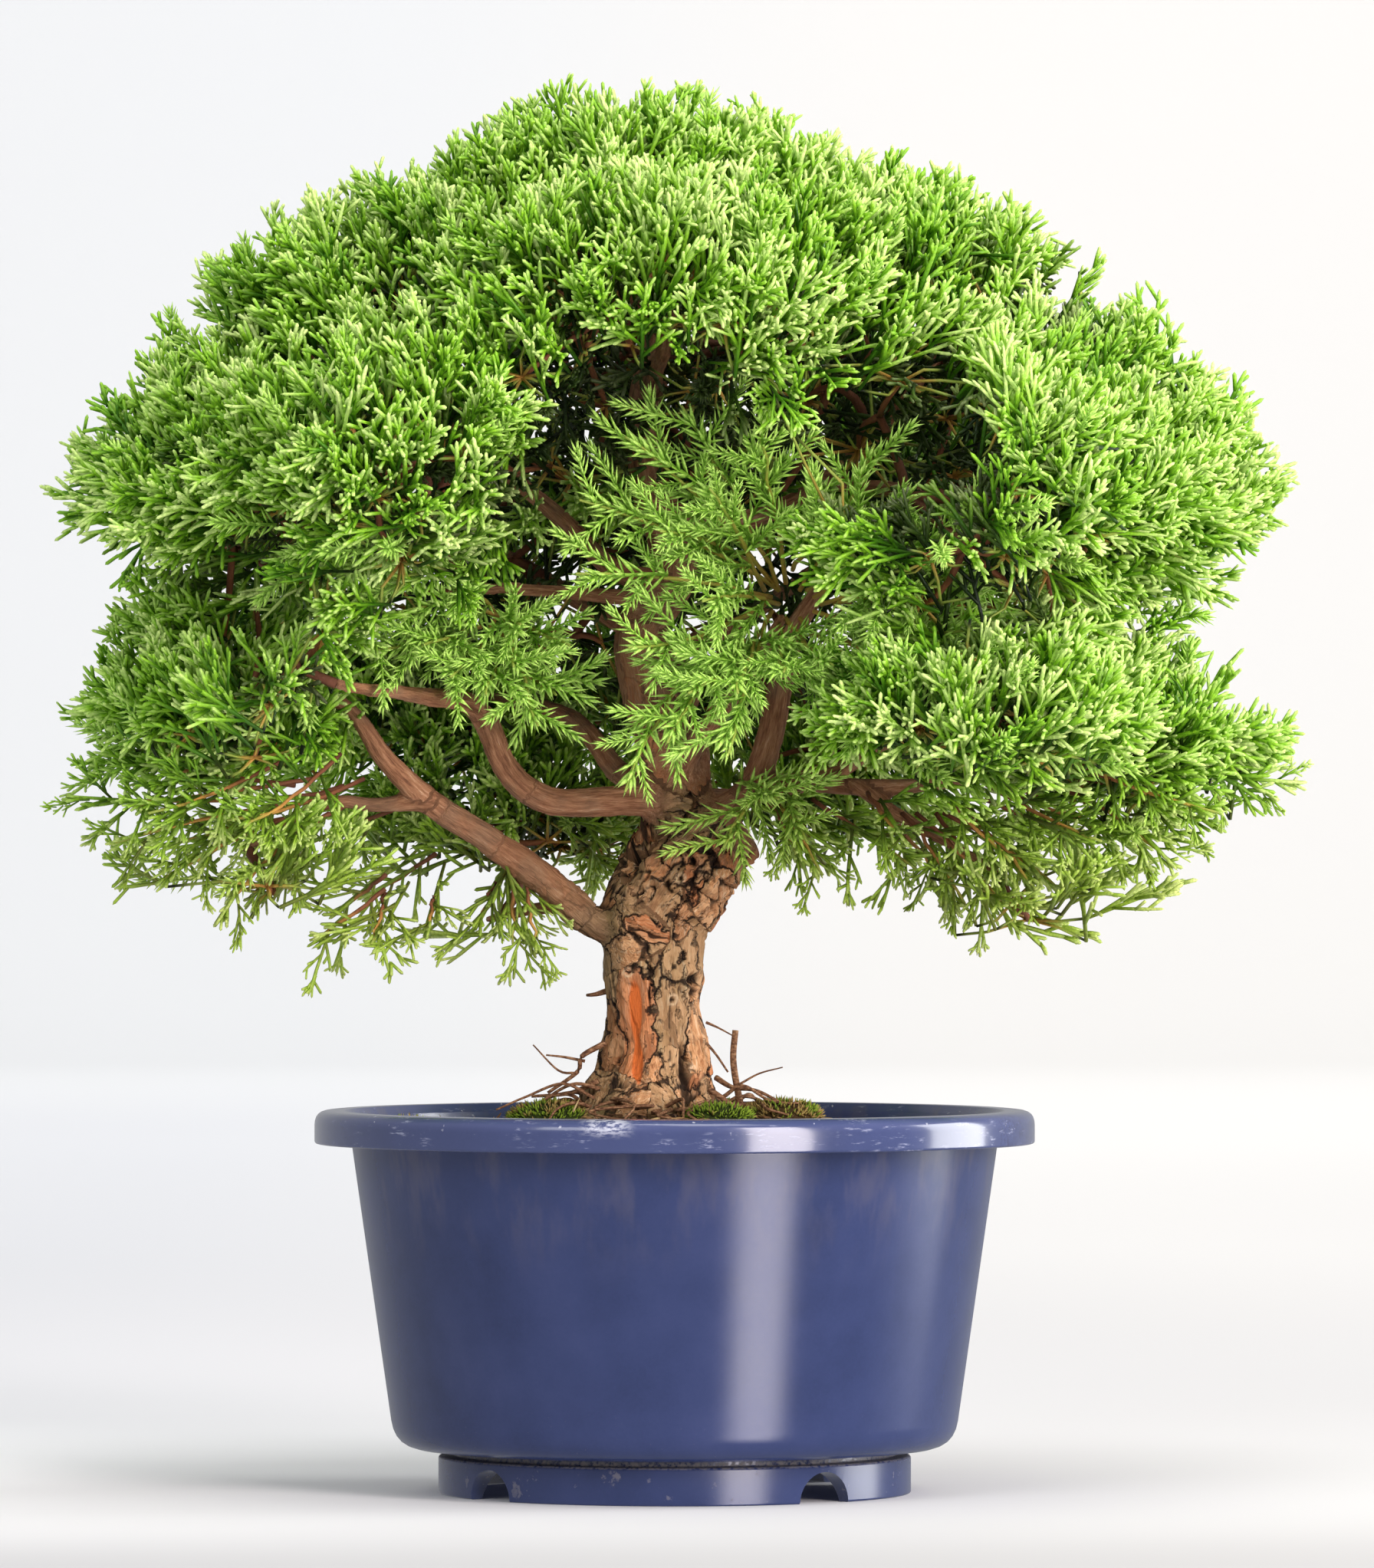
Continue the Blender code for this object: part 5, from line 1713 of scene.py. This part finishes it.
# The paper's colour carries painted light and shade. Painted shade makes it cooler and darker to the left, away
# from the key lamp, less so up the wall, and it is warmer to the right; a band of painted shade makes it a
# touch darker far off; painted shade tones it down close to the pot, where the lamps are strong, and painted
# light lifts it in the pot's shadow on the left.
to_right = paper.axis(here, "X").between(-320.0, 260.0)
behind = paper.axis(here, "Y")
wall = behind.between(3600.0, 5200.0)
# Painted shade: darker and cooler on the left, less so up the wall.
left_painted_shade = paper.mix(wall, paint(233, 234, 237), paint(241, 242, 243))
sheet = paper.mix(to_right, left_painted_shade, paint(248, 246, 243))
# A band of painted shade on the floor far off, not on the wall.
far_painted_shade = behind.between(1800.0, 3200.0) * (1.0 - wall)
sheet = paper.mix(far_painted_shade, sheet, (0.93, 0.93, 0.93, 1.0), "MULTIPLY")
# Painted shade close to the pot, most on the right, where the tall lamp is strong.
near_painted_shade = paper.mix(to_right, paint(232, 232, 234), paint(222, 221, 220))
sheet = paper.mix(1.0 - behind.between(500.0, 1900.0), sheet, near_painted_shade)
# Painted light in the pot's shadow on the left.
shadow_painted_light = (1.0 - behind.between(150.0, 420.0)) * (1.0 - to_right)
sheet = paper.mix(shadow_painted_light * 0.9, sheet, paint(255, 255, 255))
# Painted shade in front of the pot, where the lamps are strongest.
front_painted_shade = paper.mix(to_right, paint(193, 193, 194), paint(192, 191, 190))
sheet = paper.mix((0.0 - behind).between(0.0, 350.0), sheet, front_painted_shade)
floor.data.materials.append(paper.wear(Base_Color=sheet))
floor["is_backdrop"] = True
# A glossy tapered wall mirrors what is below the table's level, and a studio table ends close to the pot.
floor.visible_glossy = False

# %% Camera
FRAME_HEIGHT = 0.4573
DISTANCE = 3.3
EYE_HEIGHT = 0.2
MIDDLE = (0.0036, 0.2065)
camera_data = bpy.data.cameras.new("camera")
camera = bpy.data.objects.new("camera", camera_data)
bpy.context.scene.collection.objects.link(camera)
camera_data.lens = 36.0 * DISTANCE / FRAME_HEIGHT
camera_data.shift_y = (MIDDLE[1] - EYE_HEIGHT) / FRAME_HEIGHT
camera_data.clip_end = 50.0
camera.location = (MIDDLE[0], -DISTANCE, EYE_HEIGHT)
camera.rotation_euler = (math.pi / 2, 0.0, 0.0)
bpy.context.scene.camera = camera

# %% Lights


def softbox(name, place, target, width, height, power, colour=(1.0, 1.0, 1.0)):
    data = bpy.data.lights.new(name, "AREA")
    data.shape = "RECTANGLE"
    data.size = width
    data.size_y = height
    data.energy = power
    data.color = colour
    lamp = bpy.data.objects.new(name, data)
    bpy.context.scene.collection.objects.link(lamp)
    lamp.location = place
    lamp.rotation_euler = (Vector(target) - Vector(place)).to_track_quat("-Z", "Y").to_euler()
    return lamp


softbox("tall_softbox", (1.15, -1.75, 0.2), (0, 0, 0.2), 0.75, 3.2, 96.0, (1.0, 0.915, 0.91))
softbox("broad_softbox", (-1.3, -2.1, 1.5), (0, 0, 0.25), 1.3, 1.0, 16.0)
softbox("top_softbox", (0.3, -0.4, 2.2), (0, 0, 0.2), 1.4, 1.4, 24.0)
softbox("side_softbox", (2.0, 0.4, 0.4), (0, 0, 0.12), 1.0, 1.6, 40.0)
softbox("backdrop_softbox", (0.5, 3.1, 3.2), (0, 5.8, 0.8), 4.0, 1.8, 104.0)
world = bpy.data.worlds.new("bright_room")
world.use_nodes = True
world.node_tree.nodes["Background"].inputs["Color"].default_value = (0.97, 0.98, 1.0, 1.0)
world.node_tree.nodes["Background"].inputs["Strength"].default_value = 0.42
bpy.context.scene.world = world
bpy.context.scene.view_settings.view_transform = "Standard"

# %% Measure and print the visual box
low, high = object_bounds()
print("visual box, mm:", [round(v / MM, 1) for v in (*low, *high)])
